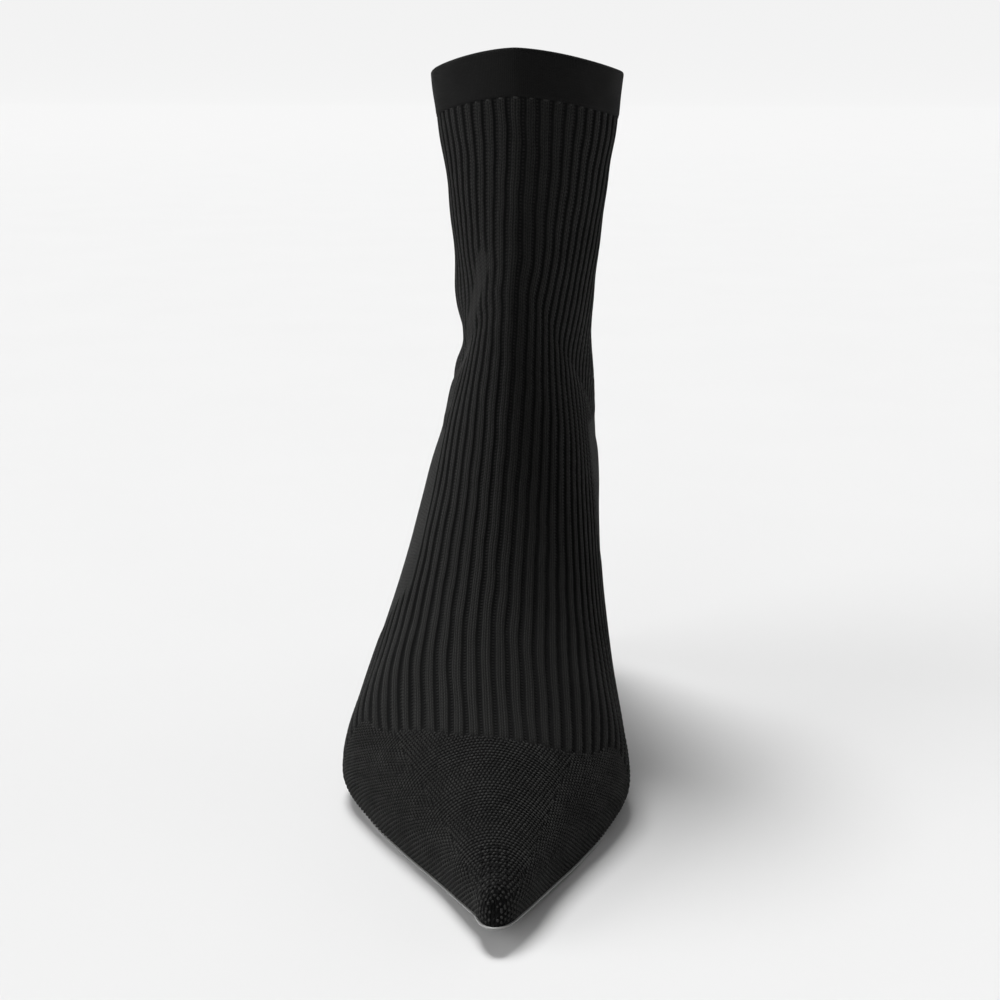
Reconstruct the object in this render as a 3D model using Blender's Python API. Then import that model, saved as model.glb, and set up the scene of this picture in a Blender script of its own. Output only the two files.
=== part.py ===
"""A sock boot for the right foot: a rib-knitted upper on a pointed last, a thin sole and a slim heel.

Metres, +Z up. The toe points to -Y, the big-toe side is +X, and the floor is Z = 0.
Places along the boot are measured forwards from the back of the heel, and called `along`.
"""

from collections import namedtuple

import bmesh
import bpy
import numpy as np

# Driving sizes of the last, in metres.
LENGTH = 0.250
BALL_WIDTH = 0.086
HEEL_HEIGHT = 0.062
TOE_SPRING = 0.006
INSTEP_HEIGHT = 0.082
SHAFT_HEIGHT = 0.168
ANKLE_WIDTH = 0.045
COLLAR_WIDTH = 0.065
COLLAR_DEPTH = 0.086

# The knit, the boards and the heel.
KNIT_WALL = 0.0018
CUFF_HEIGHT = 0.017
CUFF_STEP = 0.0006
CUFF_EDGE = 0.0007
LASTING_MARGIN = 0.009
INSOLE_THICKNESS = 0.002
INSOLE_EASE = 0.0022
SOLE_THICKNESS = 0.003
SOLE_BEVEL = 0.0012
SOLE_EDGE = 0.0008
HEEL_INSET = 0.001
HEEL_SEAT_LENGTH = 0.037
BREAST_HOLLOW = 0.005
HEEL_TIP_SET = 0.011
HEEL_TIP_LENGTH = 0.011
HEEL_TIP_WIDTH = 0.010
HEEL_TIP_THICKNESS = 0.006
SEAM_GAP = 0.0003

# Where the underside turns, as shares of the length.
SEAT_BACK = 0.020
SEAT_FRONT = 0.200
TREAD_BACK = 0.580
TREAD_FRONT = 0.700
SEAT_DROP = 0.150

# How the toe's tip closes, and how far the knit is turned in where the foot is narrow.
TOE_FULLNESS = 0.12
TOE_TIP_SHARE = 0.60
TOE_TOP_REACH = 0.80
MARGIN_SPINE = 1.5
MARGIN_SHARE = 0.6
SHARPEST = 1.5

# How finely the curved pieces are cut.
LOWER_COLUMNS = 5
UPPER_COLUMNS = 9
TOE_STATIONS = 5
FOOT_STATIONS = 36
LEG_STATIONS = 12
CUFF_STATIONS = 3
CURVE_SAMPLES = 200
SOLE_STATIONS = 36
ROUND_STATIONS = 6
HEEL_COLUMNS = 9
HEEL_LEVELS = 11
BREAST_COLUMNS = 5

# Colours of the knit, the boards and the heel.
KNIT_COLOUR = (0.012, 0.012, 0.012)
INSOLE_COLOUR = (0.16, 0.13, 0.10)
SOLE_COLOUR = (0.010, 0.010, 0.010)
TIP_COLOUR = (0.02, 0.02, 0.02)

FEATHER_LEVEL = SOLE_THICKNESS + SEAM_GAP
HEEL_RISE = HEEL_HEIGHT - FEATHER_LEVEL

# The edge of the sole seat in plan. Along is a share of the length, and the sides are shares of
# the ball width, measured from the line through the middle of the heel.
EdgeRow = namedtuple("EdgeRow", "along lateral medial")
SEAT_EDGE = (
    EdgeRow(0.090, 0.262, 0.262),
    EdgeRow(0.170, 0.302, 0.298),
    EdgeRow(0.260, 0.310, 0.266),
    EdgeRow(0.360, 0.332, 0.238),
    EdgeRow(0.460, 0.380, 0.284),
    EdgeRow(0.560, 0.446, 0.390),
    EdgeRow(0.640, 0.474, 0.450),
    EdgeRow(0.720, 0.379, 0.426),
    EdgeRow(0.800, 0.238, 0.361),
    EdgeRow(0.880, 0.089, 0.284),
    EdgeRow(0.975, -0.060, 0.212),
)

# Sections of the foot, each in a plane across the boot from the sole seat up to the ridge of the vamp.
# Along is a share of the length, lift of the heel's rise, rise of the instep height, and lateral,
# medial and swing of the ball width. Widest is the share of the section's height where it bulges most,
# and base and crown say how square it is below and above that: 2 is an ellipse, and less is a ridge.
FootRow = namedtuple(
    "FootRow", "top_along top_lift top_rise back_along lateral medial swing widest base crown"
)
FOOT_ROWS = (
    FootRow(0.970, 0.00, 0.173, 0.975, 0.086, 0.086, 0.134, 0.40, 2.0, 2.0),
    FootRow(0.932, 0.00, 0.222, 0.934, 0.133, 0.133, 0.118, 0.34, 2.0, 2.0),
    FootRow(0.880, 0.00, 0.289, 0.880, 0.196, 0.196, 0.094, 0.26, 2.0, 1.95),
    FootRow(0.808, 0.00, 0.387, 0.806, 0.308, 0.300, 0.060, 0.22, 2.0, 1.9),
    FootRow(0.732, 0.00, 0.496, 0.728, 0.429, 0.424, 0.026, 0.16, 2.1, 1.85),
    FootRow(0.658, 0.02, 0.615, 0.646, 0.525, 0.512, -0.004, 0.12, 2.2, 1.85),
    FootRow(0.588, 0.08, 0.732, 0.560, 0.520, 0.492, -0.010, 0.16, 2.1, 1.8),
    FootRow(0.522, 0.20, 0.840, 0.462, 0.475, 0.436, -0.010, 0.22, 2.0, 1.75),
    FootRow(0.466, 0.36, 0.940, 0.352, 0.413, 0.379, -0.007, 0.28, 2.0, 1.7),
    FootRow(0.424, 0.54, 1.020, 0.240, 0.374, 0.348, -0.005, 0.31, 2.1, 1.7),
    FootRow(0.398, 0.70, 1.060, 0.136, 0.346, 0.332, -0.003, 0.32, 2.3, 1.7),
    FootRow(0.384, 0.84, 1.085, 0.060, 0.324, 0.316, -0.001, 0.33, 2.5, 1.7),
    FootRow(0.376, 0.93, 1.100, 0.020, 0.304, 0.300, 0.000, 0.34, 2.5, 1.7),
)

# Sections of the leg. Top leg is the share of the way from the ankle bend up to the collar, deep a share
# of the collar's depth, back along of the length, back up of the shaft's height, and wide runs from the
# ankle's width at 0 to the collar's at 1. The other columns are as in the foot.
LegRow = namedtuple("LegRow", "top_leg deep back_along back_up wide swing widest base crown")
LEG_ROWS = (
    LegRow(0.105, 1.073, 0.003, 0.119, 0.25, -0.002, 0.35, 2.4, 1.7),
    LegRow(0.209, 1.033, 0.009, 0.250, 0.09, 0.006, 0.38, 2.3, 1.7),
    LegRow(0.337, 0.963, 0.025, 0.417, 0.19, 0.005, 0.42, 2.1, 1.7),
    LegRow(0.477, 0.923, 0.035, 0.583, 0.39, 0.010, 0.46, 2.0, 1.65),
    LegRow(0.628, 0.919, 0.037, 0.732, 0.57, 0.016, 0.49, 2.0, 1.6),
    LegRow(0.779, 0.940, 0.032, 0.848, 0.81, 0.015, 0.50, 2.0, 1.6),
    LegRow(1.000, 1.000, 0.020, 0.970, 1.04, 0.013, 0.50, 2.0, 1.6),
)

# The heel block's rings, each a share of the way from the seat down to the tip.
HeelRow = namedtuple("HeelRow", "down back breast width")
HEEL_ROWS = (
    HeelRow(0.00, 0.00, 0.00, 0.00),
    HeelRow(0.10, 0.12, 0.36, 0.17),
    HeelRow(0.22, 0.32, 0.64, 0.42),
    HeelRow(0.38, 0.60, 0.84, 0.70),
    HeelRow(0.62, 0.88, 0.96, 0.92),
    HeelRow(1.00, 1.00, 1.00, 1.00),
)

Section = namedtuple(
    "Section", "top_along top_up back_along back_up swing lateral medial widest base crown"
)


def smooth_through(places, rows, at):
    """Values at `at` of the smooth curve that passes each row at its place."""
    places = np.asarray(places, float)
    rows = np.asarray(rows, float)
    at = np.atleast_1d(at)
    steps = np.diff(places)
    slopes = np.diff(rows, axis=0) / steps[:, None]
    tangents = np.empty_like(rows)
    tangents[0], tangents[-1] = slopes[0], slopes[-1]
    before, after = steps[:-1, None], steps[1:, None]
    tangents[1:-1] = (slopes[:-1] * after + slopes[1:] * before) / (before + after)
    span = np.clip(np.searchsorted(places, at, side="right") - 1, 0, len(steps) - 1)
    step = steps[span][:, None]
    t = (at - places[span])[:, None] / step
    return (
        (2 * t**3 - 3 * t**2 + 1) * rows[span]
        + (t**3 - 2 * t**2 + t) * step * tangents[span]
        + (3 * t**2 - 2 * t**3) * rows[span + 1]
        + (t**3 - t**2) * step * tangents[span + 1]
    )


def sole_seat(along):
    """Height over the floor of the sole seat, where the edge of the upper rests."""
    share = np.asarray(along, float) / LENGTH
    spring = TOE_SPRING * (np.clip(share - TREAD_FRONT, 0, None) / (1 - TREAD_FRONT)) ** 2
    seat_slope = SEAT_DROP / (SEAT_FRONT - SEAT_BACK)
    shank = TREAD_BACK - SEAT_FRONT
    t = np.clip((TREAD_BACK - share) / shank, 0, 1)
    lift = (3 * t**2 - 2 * t**3) * (1 - SEAT_DROP) + (t**3 - t**2) * shank * seat_slope
    lift = lift + seat_slope * np.clip(SEAT_FRONT - share, 0, None)
    return FEATHER_LEVEL + spring + lift * HEEL_RISE


def seat_edge(along):
    """How far the sole seat reaches to the lateral and the medial side, at places along the boot."""
    share = np.atleast_1d(along) / LENGTH
    first, last = SEAT_EDGE[0].along, SEAT_EDGE[-1].along
    sides = [(row.lateral, row.medial) for row in SEAT_EDGE]
    reach = smooth_through([row.along for row in SEAT_EDGE], sides, np.clip(share, first, last))
    middle = (reach[:, 1] - reach[:, 0]) / 2
    half = (reach[:, 1] + reach[:, 0]) / 2
    into_heel = np.clip((first - share) / (first - SEAT_BACK), 0, 1)
    into_toe = np.clip((share - last) / (1 - last), 0, 1)
    half = half * np.sqrt(1 - into_heel**2) * np.sqrt(1 - into_toe) * (1 + TOE_FULLNESS * into_toe)
    return BALL_WIDTH * np.column_stack([half - middle, half + middle])


def layer(along, above):
    """Height of a layer that lies `above` the sole seat, measured square to it."""
    near = SEAM_GAP
    slope = (sole_seat(along + near) - sole_seat(along - near)) / (2 * near)
    return sole_seat(along) + above * np.sqrt(1 + slope**2)


def foot_section(row):
    """The section of a foot row, in metres."""
    back_along = row.back_along * LENGTH
    return Section(
        top_along=row.top_along * LENGTH,
        top_up=FEATHER_LEVEL + row.top_lift * HEEL_RISE + row.top_rise * INSTEP_HEIGHT,
        back_along=back_along,
        back_up=float(sole_seat(back_along)),
        swing=row.swing * BALL_WIDTH,
        lateral=row.lateral * BALL_WIDTH,
        medial=row.medial * BALL_WIDTH,
        widest=row.widest,
        base=row.base,
        crown=row.crown,
    )


def leg_section(row):
    """The section of a leg row, in metres."""
    back_along = row.back_along * LENGTH
    ankle_up = HEEL_HEIGHT + INSTEP_HEIGHT
    half = (ANKLE_WIDTH + row.wide * (COLLAR_WIDTH - ANKLE_WIDTH)) / 2
    return Section(
        top_along=back_along + row.deep * COLLAR_DEPTH,
        top_up=ankle_up + row.top_leg * (SHAFT_HEIGHT - INSTEP_HEIGHT),
        back_along=back_along,
        back_up=HEEL_HEIGHT + row.back_up * SHAFT_HEIGHT,
        swing=row.swing * BALL_WIDTH,
        lateral=half,
        medial=half,
        widest=row.widest,
        base=row.base,
        crown=row.crown,
    )


def toe_section(first, turn):
    """A section of the rounded tip, from nothing at turn 0 to the first foot section at turn 1."""
    ahead = (LENGTH - first.back_along) * (1 - turn**2)
    fuller = turn * (1 + TOE_FULLNESS * (1 - turn**2))
    back_along = first.back_along + ahead
    height = (first.top_up - first.back_up) * (TOE_TIP_SHARE + (1 - TOE_TIP_SHARE) * turn)
    return first._replace(
        top_along=first.top_along + ahead * TOE_TOP_REACH,
        top_up=float(sole_seat(back_along)) + height,
        back_along=back_along,
        back_up=float(sole_seat(back_along)),
        lateral=first.lateral * fuller,
        medial=first.medial * fuller,
    )


def upper_sections():
    """The sections of the foot from the tip to the back of the heel, and of the leg up to the collar."""
    rows = [foot_section(row) for row in FOOT_ROWS] + [leg_section(row) for row in LEG_ROWS]
    steps = np.arange(len(rows))
    heel_step = len(FOOT_ROWS) - 1
    turns = np.sin(np.linspace(0, np.pi / 2, TOE_STATIONS + 1)[:-1])
    foot = [toe_section(rows[0], turn) for turn in turns]
    foot_steps = np.linspace(0, heel_step, FOOT_STATIONS)
    foot += [Section(*values) for values in smooth_through(steps, rows, foot_steps)]

    fine = np.linspace(heel_step, steps[-1], CURVE_SAMPLES)
    tops = smooth_through(steps, rows, fine)[:, 1]
    collar_up = HEEL_HEIGHT + SHAFT_HEIGHT
    cuff_step = np.interp(collar_up - CUFF_HEIGHT, tops, fine)
    below_cuff = np.interp(collar_up - CUFF_HEIGHT - CUFF_EDGE, tops, fine)
    leg_steps = np.concatenate(
        [
            np.linspace(heel_step, below_cuff, LEG_STATIONS),
            np.linspace(cuff_step, steps[-1], CUFF_STATIONS),
        ]
    )
    leg = [Section(*values) for values in smooth_through(steps, rows, leg_steps)]
    leg[0] = foot[-1]
    return foot, leg


def ring(section, seat_reach, seat_up):
    """Points round one section, from the lateral edge of the sole seat over the top to the medial edge."""
    low = np.linspace(0, np.pi / 2, LOWER_COLUMNS + 1)[:-1]
    high = np.linspace(0, np.pi / 2, UPPER_COLUMNS + 1)
    narrowing = np.cos(high) ** (2 / section.crown)
    narrowing[-1] = 0.0
    rise = np.concatenate(
        [
            section.widest * (1 - np.cos(low) ** (2 / section.base)),
            section.widest + (1 - section.widest) * np.sin(high) ** (2 / section.crown),
        ]
    )
    sides = []
    for half, reach in ((section.lateral, seat_reach[0]), (section.medial, seat_reach[1])):
        wide, foot = half**section.base, max(reach, 0.0) ** section.base
        widening = (wide - (wide - foot) * np.cos(low) ** 2) ** (1 / section.base)
        sides.append(np.concatenate([widening, half * narrowing]))
    across = np.concatenate([section.swing - sides[0], section.swing + sides[1][-2::-1]])
    rise = np.concatenate([rise, rise[-2::-1]])
    along = section.back_along + rise * (section.top_along - section.back_along)
    onto_seat = (seat_up - section.back_up) * np.clip(1 - rise / section.widest, 0, 1) ** 2
    up = section.back_up + rise * (section.top_up - section.back_up) + onto_seat
    return np.column_stack([across, along, up])


def margin_point(edge):
    """Where the knit that is turned in under the insole ends, inwards of a point on the seat's edge."""
    reach = LASTING_MARGIN * MARGIN_SPINE
    spine_along = np.clip(edge[1], SEAT_BACK * LENGTH + reach, LENGTH - reach)
    sides = seat_edge(spine_along)[0]
    inwards = np.array([(sides[1] - sides[0]) / 2, spine_along]) - edge[:2]
    distance = np.linalg.norm(inwards)
    across, along = edge[:2] + inwards / distance * min(LASTING_MARGIN, MARGIN_SHARE * distance)
    return np.array([across, along, sole_seat(along)])


def foot_rings(sections):
    """The rings of the foot, each open underneath and turned in at both ends."""
    rings = []
    for section in sections:
        lateral, medial = seat_edge(section.back_along)[0]
        reach = (lateral + section.swing, medial - section.swing)
        points = ring(section, reach, sole_seat(section.back_along))
        rings.append(np.vstack([margin_point(points[0]), points, margin_point(points[-1])]))
    return rings


def world(points):
    """Points across, along and up the boot, as points of the scene."""
    points = np.asarray(points, float)
    return np.stack([points[..., 0], -points[..., 1], points[..., 2]], axis=-1)


def sheet_through(mesh, rings, found):
    """Faces between neighbouring rings, joined wherever two points meet."""

    def vertex(point):
        key = tuple(np.round(point, 7))
        if key not in found:
            found[key] = mesh.verts.new(point)
        return found[key]

    rows = [[vertex(point) for point in world(points)] for points in rings]
    for row, following in zip(rows, rows[1:]):
        for corners in zip(row, row[1:], following[1:], following):
            corners = list(dict.fromkeys(corners))
            if len(corners) > 2:
                mesh.faces.new(corners)
    return rows


def add_object(name, mesh, colour, roughness):
    """A named object of the mesh, with a plain material of its own."""
    data = bpy.data.meshes.new(name)
    mesh.to_mesh(data)
    mesh.free()
    material = bpy.data.materials.new(name)
    material.use_nodes = True
    shader = material.node_tree.nodes["Principled BSDF"]
    shader.inputs["Base Color"].default_value = (*colour, 1.0)
    shader.inputs["Roughness"].default_value = roughness
    data.materials.append(material)
    data.shade_smooth()
    data.set_sharp_from_angle(angle=np.radians(40))
    made = bpy.data.objects.new(name, data)
    bpy.context.scene.collection.objects.link(made)
    return made


def upper():
    """The knitted upper: one wall from the lasting margin under the foot up to the cuff."""
    foot, leg = upper_sections()
    mesh = bmesh.new()
    found = {}
    sheet_through(mesh, foot_rings(foot), found)
    leg_rows = sheet_through(mesh, [ring(section, (0.0, 0.0), section.back_up) for section in leg], found)
    cuff = {vertex for row in leg_rows[-CUFF_STATIONS:] for vertex in row}

    mesh.normal_update()
    sheet = list(mesh.verts)
    faces = list(mesh.faces)
    rims = [edge.link_loops[0] for edge in mesh.edges if edge.is_boundary]
    square = {vertex: vertex.normal * min(vertex.calc_shell_factor(), SHARPEST) for vertex in sheet}
    inner = {vertex: mesh.verts.new(vertex.co - square[vertex] * KNIT_WALL) for vertex in sheet}
    for face in faces:
        mesh.faces.new([inner[vertex] for vertex in reversed(face.verts)])
    for loop in rims:
        first, second = loop.vert, loop.link_loop_next.vert
        mesh.faces.new([second, first, inner[first], inner[second]])
    for vertex in cuff:
        vertex.co += square[vertex] * CUFF_STEP
    return add_object("upper", mesh, KNIT_COLOUR, 0.9)


def seat_places(last=LENGTH):
    """Places along the seat's edge, close together where its ends are round."""
    heel_end, toe_start = SEAT_EDGE[0].along * LENGTH, SEAT_EDGE[-1].along * LENGTH
    turn = np.linspace(0, np.pi / 2, ROUND_STATIONS)
    heel = heel_end - (heel_end - SEAT_BACK * LENGTH) * np.cos(turn)
    middle = np.linspace(heel_end, toe_start, SOLE_STATIONS)
    toe = LENGTH - (LENGTH - toe_start) * np.cos(turn) ** 2
    places = np.concatenate([heel[:-1], middle, toe[1:]])
    return np.append(places[places < last - SEAM_GAP], last)


def edge_loop(places, outset):
    """The seat's edge in plan, moved outwards: up the lateral side from the heel, and down the medial."""
    sides = seat_edge(places)
    lateral = np.column_stack([-sides[:, 0], places])
    medial = np.column_stack([sides[:, 1], places])
    closed = np.allclose(lateral[-1], medial[-1])
    loop = np.vstack([lateral, medial[-2 if closed else -1 : 0 : -1]])
    run = np.roll(loop, -1, axis=0) - np.roll(loop, 1, axis=0)
    outwards = np.column_stack([-run[:, 1], run[:, 0]]) / np.linalg.norm(run, axis=1)[:, None]
    return loop + outset * outwards


def band(mesh, low, high):
    """Faces between two closed rings of vertices."""
    for index, corner in enumerate(low):
        mesh.faces.new([corner, low[index - 1], high[index - 1], high[index]])


def sole_plate(name, layers, colour, roughness):
    """A plate under the foot, through rings given as an outset from the seat's edge and a level."""
    mesh = bmesh.new()
    rings = []
    for outset, above in layers:
        loop = edge_loop(seat_places(), outset)
        points = np.column_stack([loop, layer(loop[:, 1], above)])
        rings.append([mesh.verts.new(point) for point in world(points)])
    for low, high in zip(rings, rings[1:]):
        band(mesh, low, high)
    for verts, turned in ((rings[0], False), (rings[-1], True)):
        last = len(verts) // 2
        for k in range(last):
            corners = [verts[k], verts[k + 1], verts[-k - 1], verts[-k] if k else verts[0]]
            corners = list(dict.fromkeys(corners))
            mesh.faces.new(corners[::-1] if turned else corners)
    bmesh.ops.recalc_face_normals(mesh, faces=mesh.faces)
    return add_object(name, mesh, colour, roughness)


def insole():
    """The insole, resting on the turned-in knit, inside the wall all round."""
    outset = -(KNIT_WALL + SEAM_GAP + INSOLE_EASE)
    bottom = KNIT_WALL + SEAM_GAP
    layers = ((outset, bottom), (outset, bottom + INSOLE_THICKNESS))
    return sole_plate("insole", layers, INSOLE_COLOUR, 0.8)


def outsole():
    """The thin outsole, bevelled under its edge, from the tip to the back of the heel seat."""
    top = -SEAM_GAP
    bottom = top - SOLE_THICKNESS
    layers = (
        (SOLE_EDGE - SOLE_BEVEL, bottom),
        (SOLE_EDGE, bottom + SOLE_BEVEL),
        (SOLE_EDGE, top),
    )
    return sole_plate("outsole", layers, SOLE_COLOUR, 0.35)


def heel_rings():
    """The top ring of the heel under the seat, and the ring of its tip, point for point."""
    breast = SEAT_BACK * LENGTH + HEEL_SEAT_LENGTH
    turn = np.linspace(0, np.pi / 2, HEEL_COLUMNS)
    start = SEAT_BACK * LENGTH
    places = breast - (breast - start) * np.cos(turn)
    loop = edge_loop(places, -HEEL_INSET)
    side = HEEL_COLUMNS - 1
    share = np.linspace(-1, 1, BREAST_COLUMNS + 2)[1:-1]
    corner_low, corner_high = loop[side], loop[side + 1]
    hollow = BREAST_HOLLOW * (1 - share**2)
    breast_points = np.column_stack(
        [
            (corner_low[0] + corner_high[0]) / 2 + share * (corner_high[0] - corner_low[0]) / 2,
            corner_low[1] - hollow,
        ]
    )
    top = np.vstack([loop[: side + 1], breast_points, loop[side + 1 :]])

    tip_front = start + HEEL_TIP_SET + HEEL_TIP_LENGTH
    half = HEEL_TIP_WIDTH / 2
    arc_along = tip_front - HEEL_TIP_LENGTH * np.cos(turn)
    lateral = np.column_stack([-half * np.sin(turn), arc_along])
    front = np.column_stack([share * half, np.full(BREAST_COLUMNS, tip_front)])
    medial = lateral[:0:-1] * (-1, 1)
    return top, np.vstack([lateral, front, medial])


def heel():
    """The slim heel block, curved in under the seat and nearly upright below."""
    top, tip = heel_rings()
    top_up = layer(top[:, 1], -SOLE_THICKNESS - 2 * SEAM_GAP)
    tip_up = HEEL_TIP_THICKNESS + SEAM_GAP
    back, breast = top[0, 1], top[HEEL_COLUMNS - 1, 1]
    forward = np.clip((top[:, 1] - back) / (breast - back), 0, 1)
    mesh = bmesh.new()
    rings = []
    rows = np.array(HEEL_ROWS)
    finer = np.linspace(0, len(rows) - 1, HEEL_LEVELS)
    for down, row_back, row_breast, width in smooth_through(np.arange(len(rows)), rows, finer):
        moved = row_back + (row_breast - row_back) * forward
        across = top[:, 0] + (tip[:, 0] - top[:, 0]) * width
        along = top[:, 1] + (tip[:, 1] - top[:, 1]) * moved
        up = top_up + (tip_up - top_up) * down
        rings.append([mesh.verts.new(point) for point in world(np.column_stack([across, along, up]))])
    for low, high in zip(rings, rings[1:]):
        band(mesh, low, high)
    mesh.faces.new(rings[0])
    mesh.faces.new(rings[-1][::-1])
    bmesh.ops.recalc_face_normals(mesh, faces=mesh.faces)
    return add_object("heel", mesh, SOLE_COLOUR, 0.3)


def heel_tip():
    """The top lift that the heel stands on."""
    tip = heel_rings()[1]
    mesh = bmesh.new()
    rings = []
    for up in (0.0, HEEL_TIP_THICKNESS):
        points = np.column_stack([tip, np.full(len(tip), up)])
        rings.append([mesh.verts.new(point) for point in world(points)])
    band(mesh, *rings)
    mesh.faces.new(rings[0])
    mesh.faces.new(rings[-1][::-1])
    bmesh.ops.recalc_face_normals(mesh, faces=mesh.faces)
    return add_object("heel_tip", mesh, TIP_COLOUR, 0.7)


def centre_on_floor(pieces):
    """Moves every mesh alike, so that the middle of the whole boot's box stands at X 0, Y 0."""
    corners = np.array([vertex.co for piece in pieces for vertex in piece.data.vertices])
    middle = (corners.min(axis=0) + corners.max(axis=0)) / 2
    for piece in pieces:
        for vertex in piece.data.vertices:
            vertex.co.x -= middle[0]
            vertex.co.y -= middle[1]


def main():
    for old in list(bpy.data.objects):
        bpy.data.objects.remove(old, do_unlink=True)
    centre_on_floor([upper(), insole(), outsole(), heel(), heel_tip()])


main()
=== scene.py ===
# %% [markdown]
# # A ribbed sock boot
#
# The real boot is one knitted tube, stretched over a pointed last, turned in under the foot and cemented
# to a thin sole with a slim heel. Its looks come from the knit: ribs two wales wide, a plain folded cuff,
# and a close, pebbly knit over the toe. The solids give the form, and this script dresses it.

# %% Load the frame
import math
from collections import namedtuple

import bmesh
import bpy
import numpy as np
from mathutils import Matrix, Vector


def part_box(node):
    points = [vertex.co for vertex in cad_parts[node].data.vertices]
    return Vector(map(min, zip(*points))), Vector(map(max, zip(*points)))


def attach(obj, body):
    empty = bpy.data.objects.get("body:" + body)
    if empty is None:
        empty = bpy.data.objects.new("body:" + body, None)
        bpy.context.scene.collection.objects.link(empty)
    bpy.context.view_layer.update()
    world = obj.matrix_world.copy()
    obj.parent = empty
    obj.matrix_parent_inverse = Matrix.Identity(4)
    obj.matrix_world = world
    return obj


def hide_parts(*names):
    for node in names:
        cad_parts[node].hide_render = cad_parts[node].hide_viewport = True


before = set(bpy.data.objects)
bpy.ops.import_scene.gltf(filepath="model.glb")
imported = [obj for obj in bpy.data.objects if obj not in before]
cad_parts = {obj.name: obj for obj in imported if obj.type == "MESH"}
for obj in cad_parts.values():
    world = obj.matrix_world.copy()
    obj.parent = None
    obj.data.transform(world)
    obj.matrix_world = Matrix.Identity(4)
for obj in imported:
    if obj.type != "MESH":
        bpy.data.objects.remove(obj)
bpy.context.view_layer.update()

# %% [markdown]
# ## The last's sizes
#
# A shoemaker starts from the last. The frame's boxes give its length, its middle and the collar's height.
# The other sizes are the ones that the boot was drawn with.

# %% Sizes from the frame
sole_low, sole_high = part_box("outsole")
tip_low, tip_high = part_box("heel_tip")
upper_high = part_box("upper")[1]

SEAT_BACK, SEAT_FRONT, TREAD_BACK, TREAD_FRONT, SEAT_DROP = 0.020, 0.200, 0.580, 0.700, 0.150
SOLE_EDGE = 0.0008
SOLE_THICKNESS = 0.003
SEAM_GAP = 0.0003
LENGTH = (sole_high.y - sole_low.y - 2 * SOLE_EDGE) / (1 - SEAT_BACK)
MIDDLE_X = (tip_low.x + tip_high.x) / 2
MIDDLE_Y = sole_low.y + LENGTH + SOLE_EDGE
BALL_WIDTH = 0.086
HEEL_HEIGHT = 0.062
TOE_SPRING = 0.006
INSTEP_HEIGHT = 0.082
SHAFT_HEIGHT = upper_high.z - HEEL_HEIGHT
ANKLE_WIDTH, COLLAR_WIDTH, COLLAR_DEPTH = 0.045, 0.065, 0.086
KNIT_WALL = 0.0018
CUFF_HEIGHT = 0.015
TOE_FULLNESS, TOE_TIP_SHARE, TOE_TOP_REACH = 0.12, 0.40, 0.72
TOE_END = LENGTH * 1.012
FEATHER_LEVEL = SOLE_THICKNESS + SEAM_GAP
HEEL_RISE = HEEL_HEIGHT - FEATHER_LEVEL
print("length %.1f mm, shaft %.1f mm" % (LENGTH * 1000, SHAFT_HEIGHT * 1000))

# %% [markdown]
# The last's lines are few: an outline of the sole seat, and sections across the foot and the leg. The
# columns are shares of the sizes above, and a smooth curve runs through each.

# %% The lines of the last
SEAT_EDGE = (  # along, lateral, medial
    (0.090, 0.262, 0.262),
    (0.170, 0.302, 0.298),
    (0.260, 0.310, 0.266),
    (0.360, 0.332, 0.238),
    (0.460, 0.380, 0.284),
    (0.560, 0.446, 0.390),
    (0.640, 0.474, 0.450),
    (0.720, 0.379, 0.426),
    (0.800, 0.238, 0.361),
    (0.880, 0.089, 0.284),
    (0.975, -0.071, 0.201),
)
FOOT_ROWS = (  # top_along, top_lift, top_rise, back_along, lateral, medial, swing, widest, base, crown
    (0.970, 0.00, 0.173, 0.975, 0.074, 0.074, 0.134, 0.38, 2.0, 2.0),
    (0.932, 0.00, 0.222, 0.934, 0.127, 0.127, 0.118, 0.32, 2.0, 2.0),
    (0.880, 0.00, 0.289, 0.880, 0.193, 0.193, 0.094, 0.25, 2.0, 1.95),
    (0.808, 0.00, 0.387, 0.806, 0.308, 0.300, 0.060, 0.22, 2.0, 1.9),
    (0.732, 0.00, 0.496, 0.728, 0.429, 0.424, 0.026, 0.16, 2.1, 1.85),
    (0.658, 0.02, 0.615, 0.646, 0.525, 0.512, -0.004, 0.12, 2.2, 1.85),
    (0.588, 0.08, 0.732, 0.560, 0.520, 0.492, -0.010, 0.16, 2.1, 1.8),
    (0.522, 0.20, 0.840, 0.462, 0.475, 0.436, -0.010, 0.22, 2.0, 1.75),
    (0.466, 0.36, 0.940, 0.352, 0.413, 0.379, -0.007, 0.28, 2.0, 1.7),
    (0.424, 0.54, 1.020, 0.240, 0.374, 0.348, -0.005, 0.31, 2.1, 1.7),
    (0.398, 0.70, 1.060, 0.136, 0.346, 0.332, -0.003, 0.32, 2.3, 1.7),
    (0.384, 0.84, 1.085, 0.060, 0.324, 0.316, -0.001, 0.33, 2.5, 1.7),
    (0.376, 0.93, 1.100, 0.020, 0.304, 0.300, 0.000, 0.34, 2.5, 1.7),
)
LEG_ROWS = (  # top_leg, deep, back_along, back_up, wide, swing, widest, base, crown
    (0.105, 1.073, 0.003, 0.119, 0.25, -0.002, 0.35, 2.4, 1.7),
    (0.209, 1.033, 0.009, 0.250, 0.09, 0.006, 0.38, 2.3, 1.7),
    (0.337, 0.963, 0.025, 0.417, 0.19, 0.005, 0.42, 2.1, 1.7),
    (0.477, 0.923, 0.035, 0.583, 0.39, 0.010, 0.46, 2.0, 1.65),
    (0.628, 0.919, 0.037, 0.732, 0.57, 0.016, 0.49, 2.0, 1.6),
    (0.779, 0.940, 0.032, 0.848, 0.81, 0.015, 0.50, 2.0, 1.6),
    (1.000, 1.000, 0.020, 0.970, 1.04, 0.013, 0.50, 2.0, 1.6),
)
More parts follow.
